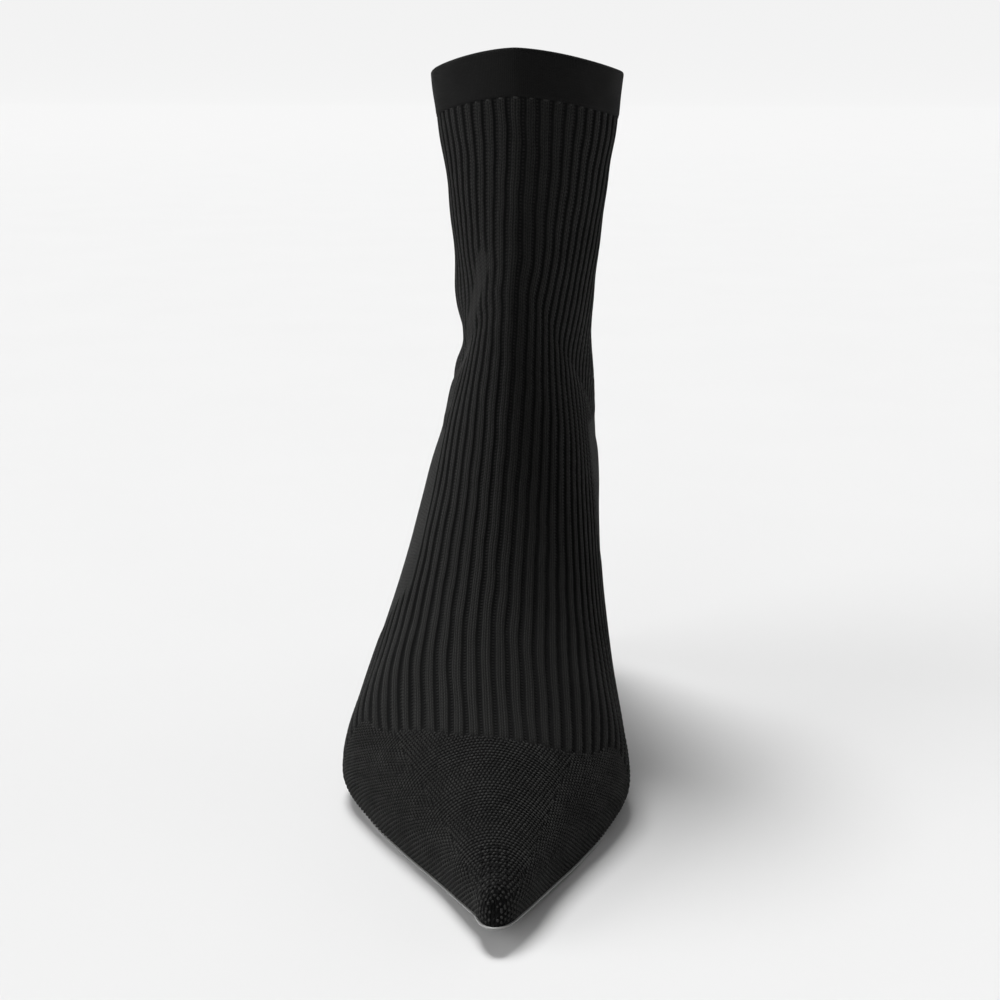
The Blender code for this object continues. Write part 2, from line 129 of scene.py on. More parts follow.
Section = namedtuple("Section", "top_along top_up back_along back_up swing lateral medial widest base crown")


def smooth_through(places, rows, at):
    """Values at `at` of the smooth curve that passes each row at its place."""
    places, rows, at = np.asarray(places, float), np.asarray(rows, float), np.atleast_1d(at)
    steps = np.diff(places)
    slopes = np.diff(rows, axis=0) / steps[:, None]
    tangents = np.empty_like(rows)
    tangents[0], tangents[-1] = slopes[0], slopes[-1]
    before, after = steps[:-1, None], steps[1:, None]
    tangents[1:-1] = (slopes[:-1] * after + slopes[1:] * before) / (before + after)
    span = np.clip(np.searchsorted(places, at, side="right") - 1, 0, len(steps) - 1)
    step = steps[span][:, None]
    t = (at - places[span])[:, None] / step
    return (
        (2 * t**3 - 3 * t**2 + 1) * rows[span]
        + (t**3 - 2 * t**2 + t) * step * tangents[span]
        + (3 * t**2 - 2 * t**3) * rows[span + 1]
        + (t**3 - t**2) * step * tangents[span + 1]
    )


def sole_seat(along):
    """Height of the seat that the turned-in knit rests on: flat under the ball, raised over the heel."""
    share = np.asarray(along, float) / LENGTH
    spring = TOE_SPRING * (np.clip(share - TREAD_FRONT, 0, None) / (1 - TREAD_FRONT)) ** 2
    seat_slope = SEAT_DROP / (SEAT_FRONT - SEAT_BACK)
    shank = TREAD_BACK - SEAT_FRONT
    t = np.clip((TREAD_BACK - share) / shank, 0, 1)
    lift = (3 * t**2 - 2 * t**3) * (1 - SEAT_DROP) + (t**3 - t**2) * shank * seat_slope
    lift = lift + seat_slope * np.clip(SEAT_FRONT - share, 0, None)
    return FEATHER_LEVEL + spring + lift * HEEL_RISE


def seat_edge(along):
    """How far the sole seat reaches to the lateral and the medial side."""
    share = np.atleast_1d(along) / LENGTH
    first, last = SEAT_EDGE[0][0], SEAT_EDGE[-1][0]
    rows = [row[1:] for row in SEAT_EDGE]
    reach = smooth_through([row[0] for row in SEAT_EDGE], rows, np.clip(share, first, last))
    middle, half = (reach[:, 1] - reach[:, 0]) / 2, (reach[:, 1] + reach[:, 0]) / 2
    into_heel = np.clip((first - share) / (first - SEAT_BACK), 0, 1)
    into_toe = np.clip((share - last) / (TOE_END / LENGTH - last), 0, 1)
    half = half * np.sqrt(1 - into_heel**2) * np.sqrt(1 - into_toe) * (1 + TOE_FULLNESS * into_toe)
    return BALL_WIDTH * np.column_stack([half - middle, half + middle])


def foot_section(row):
    """A section of the foot, from a row of shares to metres."""
    top_along, top_lift, top_rise, back_along, lateral, medial, swing, widest, base, crown = row
    top_up = FEATHER_LEVEL + top_lift * HEEL_RISE + top_rise * INSTEP_HEIGHT
    back = back_along * LENGTH
    sides = (swing * BALL_WIDTH, lateral * BALL_WIDTH, medial * BALL_WIDTH)
    return Section(top_along * LENGTH, top_up, back, float(sole_seat(back)), *sides, widest, base, crown)


def leg_section(row):
    """A section of the leg, from a row of shares to metres."""
    top_leg, deep, back_along, back_up, wide, swing, widest, base, crown = row
    back = back_along * LENGTH
    half = (ANKLE_WIDTH + wide * (COLLAR_WIDTH - ANKLE_WIDTH)) / 2
    top_up = HEEL_HEIGHT + INSTEP_HEIGHT + top_leg * (SHAFT_HEIGHT - INSTEP_HEIGHT)
    back_height = HEEL_HEIGHT + back_up * SHAFT_HEIGHT
    top_along = back + deep * COLLAR_DEPTH
    return Section(top_along, top_up, back, back_height, swing * BALL_WIDTH, half, half, widest, base, crown)


def toe_section(first, turn):
    """A section of the rounded tip, from nothing at turn 0 to the first foot section at turn 1."""
    ahead = (TOE_END - first.back_along) * (1 - turn**2)
    fuller = turn * (1 + TOE_FULLNESS * (1 - turn**2))
    back = first.back_along + ahead
    height = (first.top_up - first.back_up) * (TOE_TIP_SHARE + (1 - TOE_TIP_SHARE) * turn)
    seat = float(sole_seat(back))
    return first._replace(
        top_along=first.top_along + ahead * TOE_TOP_REACH,
        top_up=seat + height,
        back_along=back,
        back_up=seat,
        lateral=first.lateral * fuller,
        medial=first.medial * fuller,
    )


LAST_ROWS = [foot_section(row) for row in FOOT_ROWS] + [leg_section(row) for row in LEG_ROWS]
HEEL_STEP = len(FOOT_ROWS) - 1
print("sections:", len(LAST_ROWS))

# %% [markdown]
# ## The skin of the last
#
# A knitted tube has two directions: courses go round it and wales run along it. So the skin is a grid of
# rings, each evenly spaced on both sides of the front ridge. The distance from that ridge, counted in
# ribs, says which rib a point lies on, from the collar to the toe.

# %% Rings of the skin
LOW_SAMPLES, HIGH_SAMPLES = 80, 200


def ring_line(section, seat_reach, seat_up):
    """A dense line round one section, from the lateral seat edge over the ridge to the medial one."""
    low = np.linspace(0, np.pi / 2, LOW_SAMPLES + 1)[:-1]
    high = np.linspace(0, np.pi / 2, HIGH_SAMPLES + 1)
    narrowing = np.cos(high) ** (2 / section.crown)
    narrowing[-1] = 0.0
    lower = section.widest * (1 - np.cos(low) ** (2 / section.base))
    upper = section.widest + (1 - section.widest) * np.sin(high) ** (2 / section.crown)
    rise = np.concatenate([lower, upper])
    sides = []
    for half, reach in ((section.lateral, seat_reach[0]), (section.medial, seat_reach[1])):
        wide, foot = half**section.base, max(reach, 0.0) ** section.base
        widening = (wide - (wide - foot) * np.cos(low) ** 2) ** (1 / section.base)
        sides.append(np.concatenate([widening, half * narrowing]))
    across = np.concatenate([section.swing - sides[0], section.swing + sides[1][-2::-1]])
    rise = np.concatenate([rise, rise[-2::-1]])
    along = section.back_along + rise * (section.top_along - section.back_along)
    onto_seat = (seat_up - section.back_up) * np.clip(1 - rise / section.widest, 0, 1) ** 2
    up = section.back_up + rise * (section.top_up - section.back_up) + onto_seat
    return np.column_stack([MIDDLE_X + across, MIDDLE_Y - along, up])


def even_ring(line, half_columns):
    """The line at even spacing on each side of its ridge, and each point's distance from the ridge."""
    run = np.concatenate([[0], np.cumsum(np.linalg.norm(np.diff(line, axis=0), axis=1))])
    ridge = run[len(run) // 2]
    places = np.concatenate(
        [np.linspace(0, ridge, half_columns + 1), np.linspace(ridge, run[-1], half_columns + 1)[1:]]
    )
    points = np.column_stack([np.interp(places, run, line[:, axis]) for axis in range(3)])
    return points, places - ridge


def skin(steps, half_columns, toe_rings=0):
    """Rings of the last at the steps: 0 is where the toe's tip begins, and each row above adds one."""
    points, apart = [], []
    turns = np.sin(np.linspace(0, np.pi / 2, toe_rings + 1)[:-1])
    sections = [(True, toe_section(LAST_ROWS[0], turn)) for turn in turns]
    values = smooth_through(np.arange(len(LAST_ROWS)), LAST_ROWS, steps)
    sections += [(step <= HEEL_STEP, Section(*row)) for step, row in zip(steps, values)]
    for on_foot, section in sections:
        reach, seat_up = (0.0, 0.0), section.back_up
        if on_foot:
            lateral, medial = seat_edge(section.back_along)[0]
            reach = (lateral + section.swing, medial - section.swing)
            seat_up = float(sole_seat(section.back_along))
        ring, distance = even_ring(ring_line(section, reach, seat_up), half_columns)
        points.append(ring)
        apart.append(distance)
    return np.array(points), np.array(apart)


def smoothstep(low, high, value):
    """0 below low, 1 above high and a soft slope between."""
    t = np.clip((value - low) / (high - low), 0, 1)
    return t * t * (3 - 2 * t)


def facing(points):
    """The direction out of a grid of points, at each of them."""
    down_rows, along_ring = np.gradient(points, axis=0), np.gradient(points, axis=1)
    out = np.cross(along_ring, down_rows)
    return out / np.maximum(np.linalg.norm(out, axis=2), 1e-12)[..., None]


fine = np.linspace(HEEL_STEP, len(LAST_ROWS) - 1, 400)
fine_tops = smooth_through(np.arange(len(LAST_ROWS)), LAST_ROWS, fine)[:, 1]
cuff_step = float(np.interp(HEEL_HEIGHT + SHAFT_HEIGHT - CUFF_HEIGHT, fine_tops, fine))
print("the cuff begins at step %.2f of %d" % (cuff_step, len(LAST_ROWS) - 1))

# %% [markdown]
# ## Counting the ribs
#
# Forty-four ribs close round the leg. Below the ankle the rings lean over and grow much longer, while the
# knit keeps its gauge: the pitch settles at a little over 4 mm and opens slightly towards the toe. The
# ribs that no longer fit run into the plain heel pocket or the sole's edge.

# %% Where each rib runs
HALF_COLUMNS = 212
TOE_RINGS = 10
RIBS_ROUND_LEG = 44
FOOT_PITCH, VAMP_PITCH, ANKLE_PITCH = 0.00405, 0.00445, 0.0045
COURSE = 0.00115

foot_steps = np.concatenate([np.linspace(0, 5.5, 78), np.linspace(5.5, HEEL_STEP, 62)[1:]])
leg_steps = np.linspace(HEEL_STEP, cuff_step + 0.02, 76)[1:]
skin_steps = np.concatenate([foot_steps, leg_steps])
skin_points, skin_apart = skin(skin_steps, HALF_COLUMNS, TOE_RINGS)
row_steps = np.concatenate([np.linspace(-1, 0, TOE_RINGS + 1)[:-1], skin_steps])
round_leg = skin_apart[:, -1] - skin_apart[:, 0]
leg_pitch = round_leg / RIBS_ROUND_LEG
on_leg = smoothstep(HEEL_STEP + 0.5, HEEL_STEP + 5.0, row_steps)
on_vamp = 1 - smoothstep(4.0, 8.5, row_steps)
low_pitch = FOOT_PITCH + (VAMP_PITCH - FOOT_PITCH) * on_vamp
low_pitch = low_pitch + (ANKLE_PITCH - low_pitch) * smoothstep(HEEL_STEP - 2.0, HEEL_STEP + 3.0, row_steps)
pitch = low_pitch + (leg_pitch - low_pitch) * on_leg
rib_phase = skin_apart / pitch[:, None]
for step in range(HEEL_STEP - 2, len(LAST_ROWS) - 1):
    print("step %d: rib pitch %.2f mm" % (step, 1000 * np.interp(step, row_steps, pitch)))

# %% [markdown]
# Three places are knitted plain: the toe below a line across the vamp, a pocket round the heel, and the
# cuff. Each is a soft mask over the skin, and the same masks later choose the stitch and the painted shade in
# the material.

# %% Plain places
X, Y, Z = skin_points[..., 0], skin_points[..., 1], skin_points[..., 2]
VAMP_LINE = (  # across in ball widths, along in lengths
    (-0.60, 0.645),
    (-0.43, 0.675),
    (-0.37, 0.703),
    (-0.19, 0.753),
    (0.006, 0.786),
    (0.195, 0.781),
    (0.390, 0.725),
    (0.463, 0.674),
    (0.60, 0.640),
)


def vamp_line(x):
    """Where the ribs end along the boot, at places across it."""
    across = np.clip((x - MIDDLE_X) / BALL_WIDTH, -0.6, 0.6)
    places, rows = [row[0] for row in VAMP_LINE], [row[1:] for row in VAMP_LINE]
    return MIDDLE_Y - smooth_through(places, rows, across.ravel()).reshape(x.shape) * LENGTH


ribbed = smoothstep(-0.0010, 0.0010, Y - vamp_line(X))
medial = rib_phase > 0
pocket = (
    smoothstep(0.0, 0.8, np.abs(rib_phase) - np.where(medial, 13.2, 7.4))
    * smoothstep(0.0, 0.004, Y + 0.25 * (Z - 0.06) - np.where(medial, 0.034, -0.009))
    * (1 - smoothstep(0.098, 0.102, Z + 0.10 * (Y - 0.09)))
)
edge_distance = np.minimum(skin_apart - skin_apart[:, :1], skin_apart[:, -1:] - skin_apart)
at_sole = 1 - smoothstep(0.0008, 0.0035, edge_distance)
at_sole[row_steps > HEEL_STEP] = 0.0
under_cuff = smoothstep(cuff_step - 0.04, cuff_step + 0.02, row_steps)[:, None]
rib_amount = ribbed * (1 - pocket) * (1 - at_sole) * (1 - 0.75 * under_cuff)
print("share of the skin that is ribbed: %.2f" % rib_amount.mean())

# %% [markdown]
# ## Soft folds
#
# An empty sock boot slumps a little where the foot would bend. The main fold sits on the lateral side of
# the ankle: a smooth bulge, with a trough under it that shows as a notch in the outline. Each is a soft
# bump with its own place, reach and height in metres, so one can be moved without touching the others.

# %% Folds of the ankle
Fold = namedtuple("Fold", "place reach height sideways")
FOLDS = (
    Fold((-0.022, 0.083, 0.1435), (0.020, 0.026, 0.0100), 0.0014, 0.45),
    Fold((-0.022, 0.080, 0.1290), (0.022, 0.030, 0.0065), -0.0016, 0.0),
    Fold((-0.020, 0.060, 0.1160), (0.018, 0.022, 0.0090), 0.0007, 0.0),
    Fold((0.020, 0.085, 0.1340), (0.018, 0.030, 0.0110), -0.0004, 0.0),
    Fold((0.021, 0.088, 0.1120), (0.018, 0.028, 0.0090), 0.0003, 0.0),
    Fold((0.000, 0.050, 0.1330), (0.014, 0.016, 0.0080), -0.0005, 0.0),
)
skin_out = facing(skin_points)
fold_height = np.zeros_like(X)
rib_shift = np.zeros_like(X)
for fold in FOLDS:
    apart = ((skin_points - np.array(fold.place)) / np.array(fold.reach)) ** 2
    bump = np.exp(-apart.sum(axis=2))
    fold_height += fold.height * bump
    rib_shift += fold.sideways * bump
    rib_amount = rib_amount * (1 - 0.7 * bump * (fold.sideways > 0))
band_line = [(-0.0095, 0.0449, 0.1600), (-0.0122, 0.0484, 0.1477), (-0.0145, 0.0495, 0.1371)]
band_line += [(-0.0185, 0.0520, 0.1225), (-0.0205, 0.0440, 0.1120)]
band_count = np.arange(len(band_line))
along_band = np.linspace(0, len(band_line) - 1, 25)
band_line = np.column_stack([np.interp(along_band, band_count, axis) for axis in zip(*band_line)])
to_band = np.min([np.linalg.norm(skin_points - place, axis=2) for place in band_line], axis=0)
smooth_band = 1 - smoothstep(0.0032, 0.0064, to_band)
rib_amount = rib_amount * (1 - 0.85 * smooth_band)
pocket = np.maximum(pocket, 0.9 * smooth_band)
rib_amount = rib_amount * (1 - 0.25 * smoothstep(5.0, 8.0, row_steps))[:, None]
slump = 0.00022 * np.sin(X * 190 + Z * 95) * np.sin(Z * 160 - Y * 70) * smoothstep(0.02, 0.09, Z)
wander = 0.10 * np.sin(Z * 210 + X * 130) * np.sin(Y * 150 + 1.3) + 0.05 * np.sin(Z * 520 + 2.0 * rib_phase)
rib_phase_bent = rib_phase + (rib_shift + wander * 0.4) * (1 - smoothstep(20.0, 21.5, np.abs(rib_phase)))
skin_points = skin_points + skin_out * ((fold_height + slump) * (1 - at_sole))[..., None]
print("folds reach %.1f to %.1f mm" % (fold_height.min() * 1000, fold_height.max() * 1000))

# %% [markdown]
# Two more changes of form are too soft for the solids. The empty boot's collar sinks at its two sides.
# And the knit is pulled down over the sole's edge, so that only a thin line of the sole shows.

# %% Collar line and pulled-down knit
COLLAR_SINK = 0.0052
SOLE_LINE = 0.0006
knit_drop = SOLE_THICKNESS + SEAM_GAP - SOLE_LINE


def sink_collar(points):
    """Lowers the sides of the collar, less and less down the leg."""
    side = np.clip(np.abs(points[..., 0] - MIDDLE_X - 0.0011) / (COLLAR_WIDTH / 2), 0, 1.05) ** 1.6
    lowered = points.copy()
    lowered[..., 2] -= COLLAR_SINK * side * smoothstep(0.160, 0.214, points[..., 2])
    return lowered


skin_points = sink_collar(skin_points)
near_sole = (1 - smoothstep(0.0, 0.011, edge_distance)) * (row_steps <= HEEL_STEP)[:, None]
fade_up = 1 - smoothstep(HEEL_STEP - 0.6, HEEL_STEP, row_steps)[:, None]
skin_points[..., 2] -= knit_drop * near_sole * fade_up
print("the knit reaches %.1f mm over the sole's edge" % (knit_drop * 1000))

# %% [markdown]
# ## From grid to mesh
#
# The two edges of a leg ring are the same point at the back, so they share a vertex, and the tip's first
# ring is folded flat. The UV map counts in stitches, which keeps every pattern the right size and lets it
# follow the tube.


# %% Build the grid mesh
def grid_corners(index, flip):
    """The four corners of each cell of a grid of indices."""
    corners = index[:-1, :-1], index[:-1, 1:], index[1:, 1:], index[1:, :-1]
    return np.stack([corner.ravel() for corner in corners[:: -1 if flip else 1]], axis=1)


def grid_mesh(name, points, closed_rows, uv=None, values=None, flat_first=False, flip=False):
    """A mesh of a grid of points. Rows in closed_rows join their last point to their first."""
    rows, columns = points.shape[:2]
    index = np.arange(rows * columns).reshape(rows, columns)
    index[closed_rows, -1] = index[closed_rows, 0]
    if flat_first:
        half = columns // 2
        index[0, half + 1 :] = index[0, :half][::-1]
    used, vertex_of = np.unique(index, return_inverse=True)
    quads = grid_corners(vertex_of.reshape(rows, columns), flip)
    places = grid_corners(np.arange(rows * columns).reshape(rows, columns), flip)
    faces, loops = [], []
    for quad, place in zip(quads.tolist(), places.tolist()):
        keep = [k for k in range(4) if quad[k] != quad[k - 1]]
        if len(keep) > 2 and len({quad[k] for k in keep}) == len(keep):
            faces.append([quad[k] for k in keep])
            loops += [place[k] for k in keep]
    mesh = bpy.data.meshes.new(name)
    mesh.from_pydata(points.reshape(-1, 3)[used].tolist(), [], faces)
    if uv is not None:
        layer = mesh.uv_layers.new(name="knit")
        layer.data.foreach_set("uv", uv.reshape(-1, 2)[loops].ravel().astype(np.float32))
    for key, value in (values or {}).items():
        attribute = mesh.attributes.new(key, "FLOAT", "POINT")
        attribute.data.foreach_set("value", value.ravel()[used].astype(np.float32))
    mesh.shade_smooth()
    mesh.update()
    return mesh


def add_piece(name, mesh):
    """An object for a mesh, at the origin."""
    piece = bpy.data.objects.new(name, mesh)
    bpy.context.scene.collection.objects.link(piece)
    return piece


# the edge of the knit, turned in under the foot
is_foot = row_steps <= HEEL_STEP
spine = (skin_points[:, 0] + skin_points[:, -1]) / 2


def turned_in(side, reach):
    """The knit's edge on one side, moved towards the middle of the sole."""
    inward = spine - skin_points[:, side]
    length = np.maximum(np.linalg.norm(inward, axis=1), 1e-9)
    step = inward * (np.minimum(reach, 0.6 * length) * is_foot / length)[:, None]
    return (skin_points[:, side] + step)[:, None]


hem = [turned_in(0, 0.006), turned_in(0, 0.001), skin_points, turned_in(-1, 0.001), turned_in(-1, 0.006)]
knit_points = np.concatenate(hem, axis=1)
HEM_COLUMNS = ((0, 0), (2, 2))
masks = {"rib_phase": rib_phase_bent, "rib_amount": rib_amount, "plain": 1 - ribbed, "pocket": pocket}
knit_values = {key: np.pad(mask, HEM_COLUMNS, mode="edge") for key, mask in masks.items()}
knit_values["rib_amount"][:, [0, 1, -2, -1]] = 0.0
stitch_u = 3 * knit_values["rib_phase"]
front = skin_points[:, HALF_COLUMNS]
course_run = np.concatenate([[0], np.cumsum(np.linalg.norm(np.diff(front, axis=0), axis=1))]) / COURSE
stitch_v = course_run[:, None] + 0 * stitch_u
knit_uv = np.dstack([stitch_u, stitch_v])
knit_mesh = grid_mesh("knit_skin", knit_points, ~is_foot, knit_uv, knit_values, flat_first=True)
print("knit skin:", len(knit_mesh.vertices), "points,", 2 * len(knit_mesh.polygons), "triangles")

# %% [markdown]
# ## Ribs, raised by Geometry Nodes
#
# A rib could be modelled once and copied, but these ribs bend, widen and fade. A node tree on the
# finished skin does it by rule: the rib count gives a wave, the wave gives a flat-topped profile, and the
# skin moves along its own normal. A shallow dip parts the rib's two wales.


# %% A node tree that raises ribs
class Value:
    """A number in a node tree, which is added, taken away and multiplied like any other."""

    def __init__(self, tree, socket):
        self.tree, self.socket = tree, socket

    def __add__(self, other):
        return calculate(self.tree, "ADD", self, other)

    def __sub__(self, other):
        return calculate(self.tree, "SUBTRACT", self, other)

    def __rsub__(self, other):
        return calculate(self.tree, "SUBTRACT", other, self)

    def __mul__(self, other):
        return calculate(self.tree, "MULTIPLY", self, other)

    __radd__, __rmul__ = __add__, __mul__


def add_node(tree, kind, settings=None, values=None):
    """A new node with its settings, and with sockets set or linked by name or place."""
    node = tree.nodes.new(kind)
    for key, value in (settings or {}).items():
        setattr(node, key, value)
    for key, value in (values or {}).items():
        value = getattr(value, "socket", value)
        if isinstance(value, bpy.types.NodeSocket):
            tree.links.new(value, node.inputs[key])
        else:
            node.inputs[key].default_value = value
    return node


def calculate(tree, operation, *values):
    """The result of a Math node on values or numbers."""
    node = add_node(tree, "ShaderNodeMath", {"operation": operation}, dict(enumerate(values)))
    return Value(tree, node.outputs[0])


def ramp(value, low, high, start=0.0, end=1.0):
    """A value mapped from low..high to start..end with soft ends."""
    values = {"Value": value, "From Min": low, "From Max": high, "To Min": start, "To Max": end}
    node = add_node(value.tree, "ShaderNodeMapRange", {"interpolation_type": "SMOOTHSTEP"}, values)
    return Value(value.tree, node.outputs["Result"])


def node_tree(name, sizes):
    """A geometry node tree with named inputs: the tree, their identifiers, its way in and its sizes."""
    tree = bpy.data.node_groups.new(name, "GeometryNodeTree")
    keys = {}
    for label, kind in {"Skin": "Geometry", **dict.fromkeys(sizes, "Float"), "Material": "Material"}.items():
        socket = tree.interface.new_socket(label, in_out="INPUT", socket_type="NodeSocket" + kind)
        keys[label] = socket.identifier
    tree.interface.new_socket("Knit", in_out="OUTPUT", socket_type="NodeSocketGeometry")
    given = tree.nodes.new("NodeGroupInput").outputs
    return tree, keys, given, [Value(tree, given[size]) for size in sizes]


def finish_tree(tree, geometry, material):
    """Realize Instances, Set Material and the way out."""
    real = add_node(tree, "GeometryNodeRealizeInstances", None, {0: geometry}).outputs[0]
    painted = add_node(tree, "GeometryNodeSetMaterial", None, {"Geometry": real, "Material": material})
    add_node(tree, "NodeGroupOutput", None, {0: painted.outputs[0]})


def attribute(tree, name, kind="FLOAT"):
    """An attribute of the mesh, read by a geometry node tree."""
    settings = {"data_type": kind}
    node = add_node(tree, "GeometryNodeInputNamedAttribute", settings, {"Name": name})
    return Value(tree, node.outputs["Attribute"])


def rib_tree():
    """Moves a skin out and in along its normal, by its rib count."""
    names = ("Rib height", "Groove share", "Wale dip")
    tree, keys, given, (rib_height, groove_share, wale_dip) = node_tree("raise_ribs", names)
    wave = calculate(tree, "COSINE", attribute(tree, "rib_phase") * (2 * math.pi))
    shoulder = calculate(tree, "COSINE", (1.0 - groove_share) * math.pi)
    profile = ramp(wave, shoulder - 0.50, shoulder + 0.62)
    amount = attribute(tree, "rib_amount")
    height = ((profile - 0.55) * rib_height - ramp(wave, 0.72, 1.0) * wale_dip) * amount
    normal = tree.nodes.new("GeometryNodeInputNormal").outputs["Normal"]
    values = {0: normal, "Scale": height}
    offset = add_node(tree, "ShaderNodeVectorMath", {"operation": "SCALE"}, values).outputs[0]
    moved = add_node(tree, "GeometryNodeSetPosition", None, {"Geometry": given["Skin"], "Offset": offset})
    # the rib's raised share is stored for the material's painted shade in the grooves
    values = {"Geometry": moved.outputs[0], "Name": "raised", "Value": profile * amount}
    settings = {"data_type": "FLOAT", "domain": "POINT"}
    kept = add_node(tree, "GeometryNodeStoreNamedAttribute", settings, values)
    finish_tree(tree, kept.outputs[0], given["Material"])
    return tree, keys


def run_tree(piece, tree, keys, inputs):
    """Runs a node tree on the piece with these inputs, and keeps the plain mesh."""
    modifier = piece.modifiers.new(tree.name, "NODES")
    modifier.node_group = tree
    for label, value in inputs.items():
        modifier[keys[label]] = value
    graph = bpy.context.evaluated_depsgraph_get()
    evaluated = piece.evaluated_get(graph)
    mesh = bpy.data.meshes.new_from_object(evaluated, preserve_all_data_layers=True, depsgraph=graph)
    piece.modifiers.clear()
    piece.data = mesh


# %% [markdown]
# ## The knit's material
#
# Matte black yarn is never quite black: its colour holds a painted highlight on the tops of the ribs and
# painted shade in the grooves. The stitches are too many to model here, so the bump draws them from the UV
# map: slanted pairs of legs on the ribs, and little beads in the grooves, where the purl side shows.


# %% Stitches drawn from the UV map
def new_material(name):
    """A material with its Principled shader, and its node tree."""
    material = bpy.data.materials.new(name)
    material.use_nodes = True
    return material, material.node_tree


def cosine_wave(value):
    """A wave from 0 to 1 that repeats with each whole number and is 1 on it."""
    return calculate(value.tree, "COSINE", value * (2 * math.pi)) * 0.5 + 0.5


def mixed(share, low, high):
    """low where share is 0, high where it is 1."""
    return (high - low) * share + low


def mix_colour(share, low, high):
    """Mixes two colours, given as sockets or as red, green and blue."""
    values = {0: share}
    for place, colour in ((6, low), (7, high)):
        values[place] = colour if isinstance(colour, bpy.types.NodeSocket) else (*colour, 1.0)
    return add_node(share.tree, "ShaderNodeMix", {"data_type": "RGBA"}, values).outputs[2]


def noise(tree, scale, detail=3.0):
    """Noise on Object coordinates, from 0 to 1."""
    where = tree.nodes.new("ShaderNodeTexCoord").outputs["Object"]
    values = {"Vector": where, "Scale": scale, "Detail": detail}
    return Value(tree, add_node(tree, "ShaderNodeTexNoise", None, values).outputs["Fac"])


def dress(material, surface, bump, colour, slow, rough, sockets):
    """Gives a material its bump's depth and strength, its colour, its roughness and its other sockets."""
    tree = material.node_tree
    shader = tree.nodes["Principled BSDF"]
    values = {"Height": surface, "Distance": bump[0], "Strength": bump[1]}
    normal = add_node(tree, "ShaderNodeBump", None, values).outputs[0]
    roughness = ramp(slow, 0.3, 0.7, *rough).socket
    for key, socket in (("Normal", normal), ("Base Color", colour), ("Roughness", roughness)):
        tree.links.new(socket, shader.inputs[key])
    for key, value in sockets.items():
        shader.inputs[key].default_value = value
    return material


def stitch_count(tree):
    """Wales and courses, as the UV map counts them."""
    uv = add_node(tree, "ShaderNodeUVMap", {"uv_map": "knit"}).outputs[0]
    parts = add_node(tree, "ShaderNodeSeparateXYZ", None, {0: uv}).outputs
    return Value(tree, parts[0]), Value(tree, parts[1])


def stitch_height(tree, purl_share):
    """Height of the knit's surface over a stitch: slanted legs, or beads where purl_share is 1."""
    wale, course = stitch_count(tree)
    across = calculate(tree, "ABSOLUTE", calculate(tree, "FRACT", wale) - 0.5)
    leg = calculate(tree, "SINE", across * (2 * math.pi))
    knit = leg * (cosine_wave(across * 1.3 + course) * 0.55 + 0.45)
    beads = cosine_wave(wale + 0.5) * cosine_wave(course)
    return mixed(purl_share, knit, beads)


def knit_material(name, lit, dark, depth):
    """Matte knit, with painted shade between the stitches and in the grooves and a painted highlight on the
    yarn.
    """
    material, tree = new_material(name)
    masks = ("raised", "plain", "pocket", "rib_amount")
    nodes = [add_node(tree, "ShaderNodeAttribute", {"attribute_name": mask}) for mask in masks]
    raised, plain, pocket, amount = [Value(tree, node.outputs["Fac"]) for node in nodes]
    height = stitch_height(tree, (1.0 - raised) * (1.0 - pocket))
    surface = noise(tree, 2600.0) * 0.25 + height * (plain * 0.5 + 0.8)
    mottle = noise(tree, 60.0)
    # painted highlight: the higher the yarn of a stitch, the lighter its colour
    glow = height * (mottle * 0.5 + 0.75)
    # painted shade: the grooves are darkest across the vamp, and a ragged dark line parts them from the ribs
    groove = mixed(raised, mixed(ramp(amount, 0.78, 0.98), 0.60, 0.30), 1.0)
    wave = calculate(tree, "COSINE", stitch_count(tree)[0] * (2 * math.pi / 3))
    line = ramp(calculate(tree, "ABSOLUTE", wave + 0.50), 0.05, 0.50, 1.1, 0.0) * amount
    line = calculate(tree, "MINIMUM", line * (noise(tree, 900.0, 2.0) * 1.6 + 0.35), 0.97)
    # painted shade: the plain toe is kept nearly black under its beads
    shade = mixed(plain, mixed(pocket, groove * (1.0 - line), 0.85), 0.05)
    colour = mix_colour(glow * shade, dark, lit)
    return dress(material, surface, (depth, 0.9), colour, mottle, (0.80, 0.92), YARN)


YARN = {"Sheen Weight": 0.07, "Sheen Roughness": 0.5, "Sheen Tint": (0.42, 0.42, 0.41, 1.0)}
YARN["Specular IOR Level"] = 0.10
knit_black = knit_material("knit_black", (0.0222, 0.0222, 0.0213), (0.0024, 0.0025, 0.0026), 0.00035)
knit_upper = add_piece("knit_upper", knit_mesh)
rib_sizes = {"Rib height": 0.00115, "Groove share": 0.36, "Wale dip": 0.00014}
run_tree(knit_upper, *rib_tree(), {**rib_sizes, "Material": knit_black})
print("ribbed knit:", len(knit_upper.data.polygons), "faces")

# %% [markdown]
# ## Stitches of the toe, placed by Geometry Nodes
#
# The toe shows the purl side: rows of little beads, each the head of one loop, and here each one is real.
# The wales in the middle run along the ridge and those at the sides along the sole's edge, and they meet
# on a slanting line where the knitter narrows the toe. At the tip every second loop of every second
# course is left out, which makes small eyelets, and low near-black beads in them are painted shade in the
# holes. The same node tree sets the loop that tops each rib where the cuff is linked on.


# %% Places of the beads
NUDGE = 0.0003


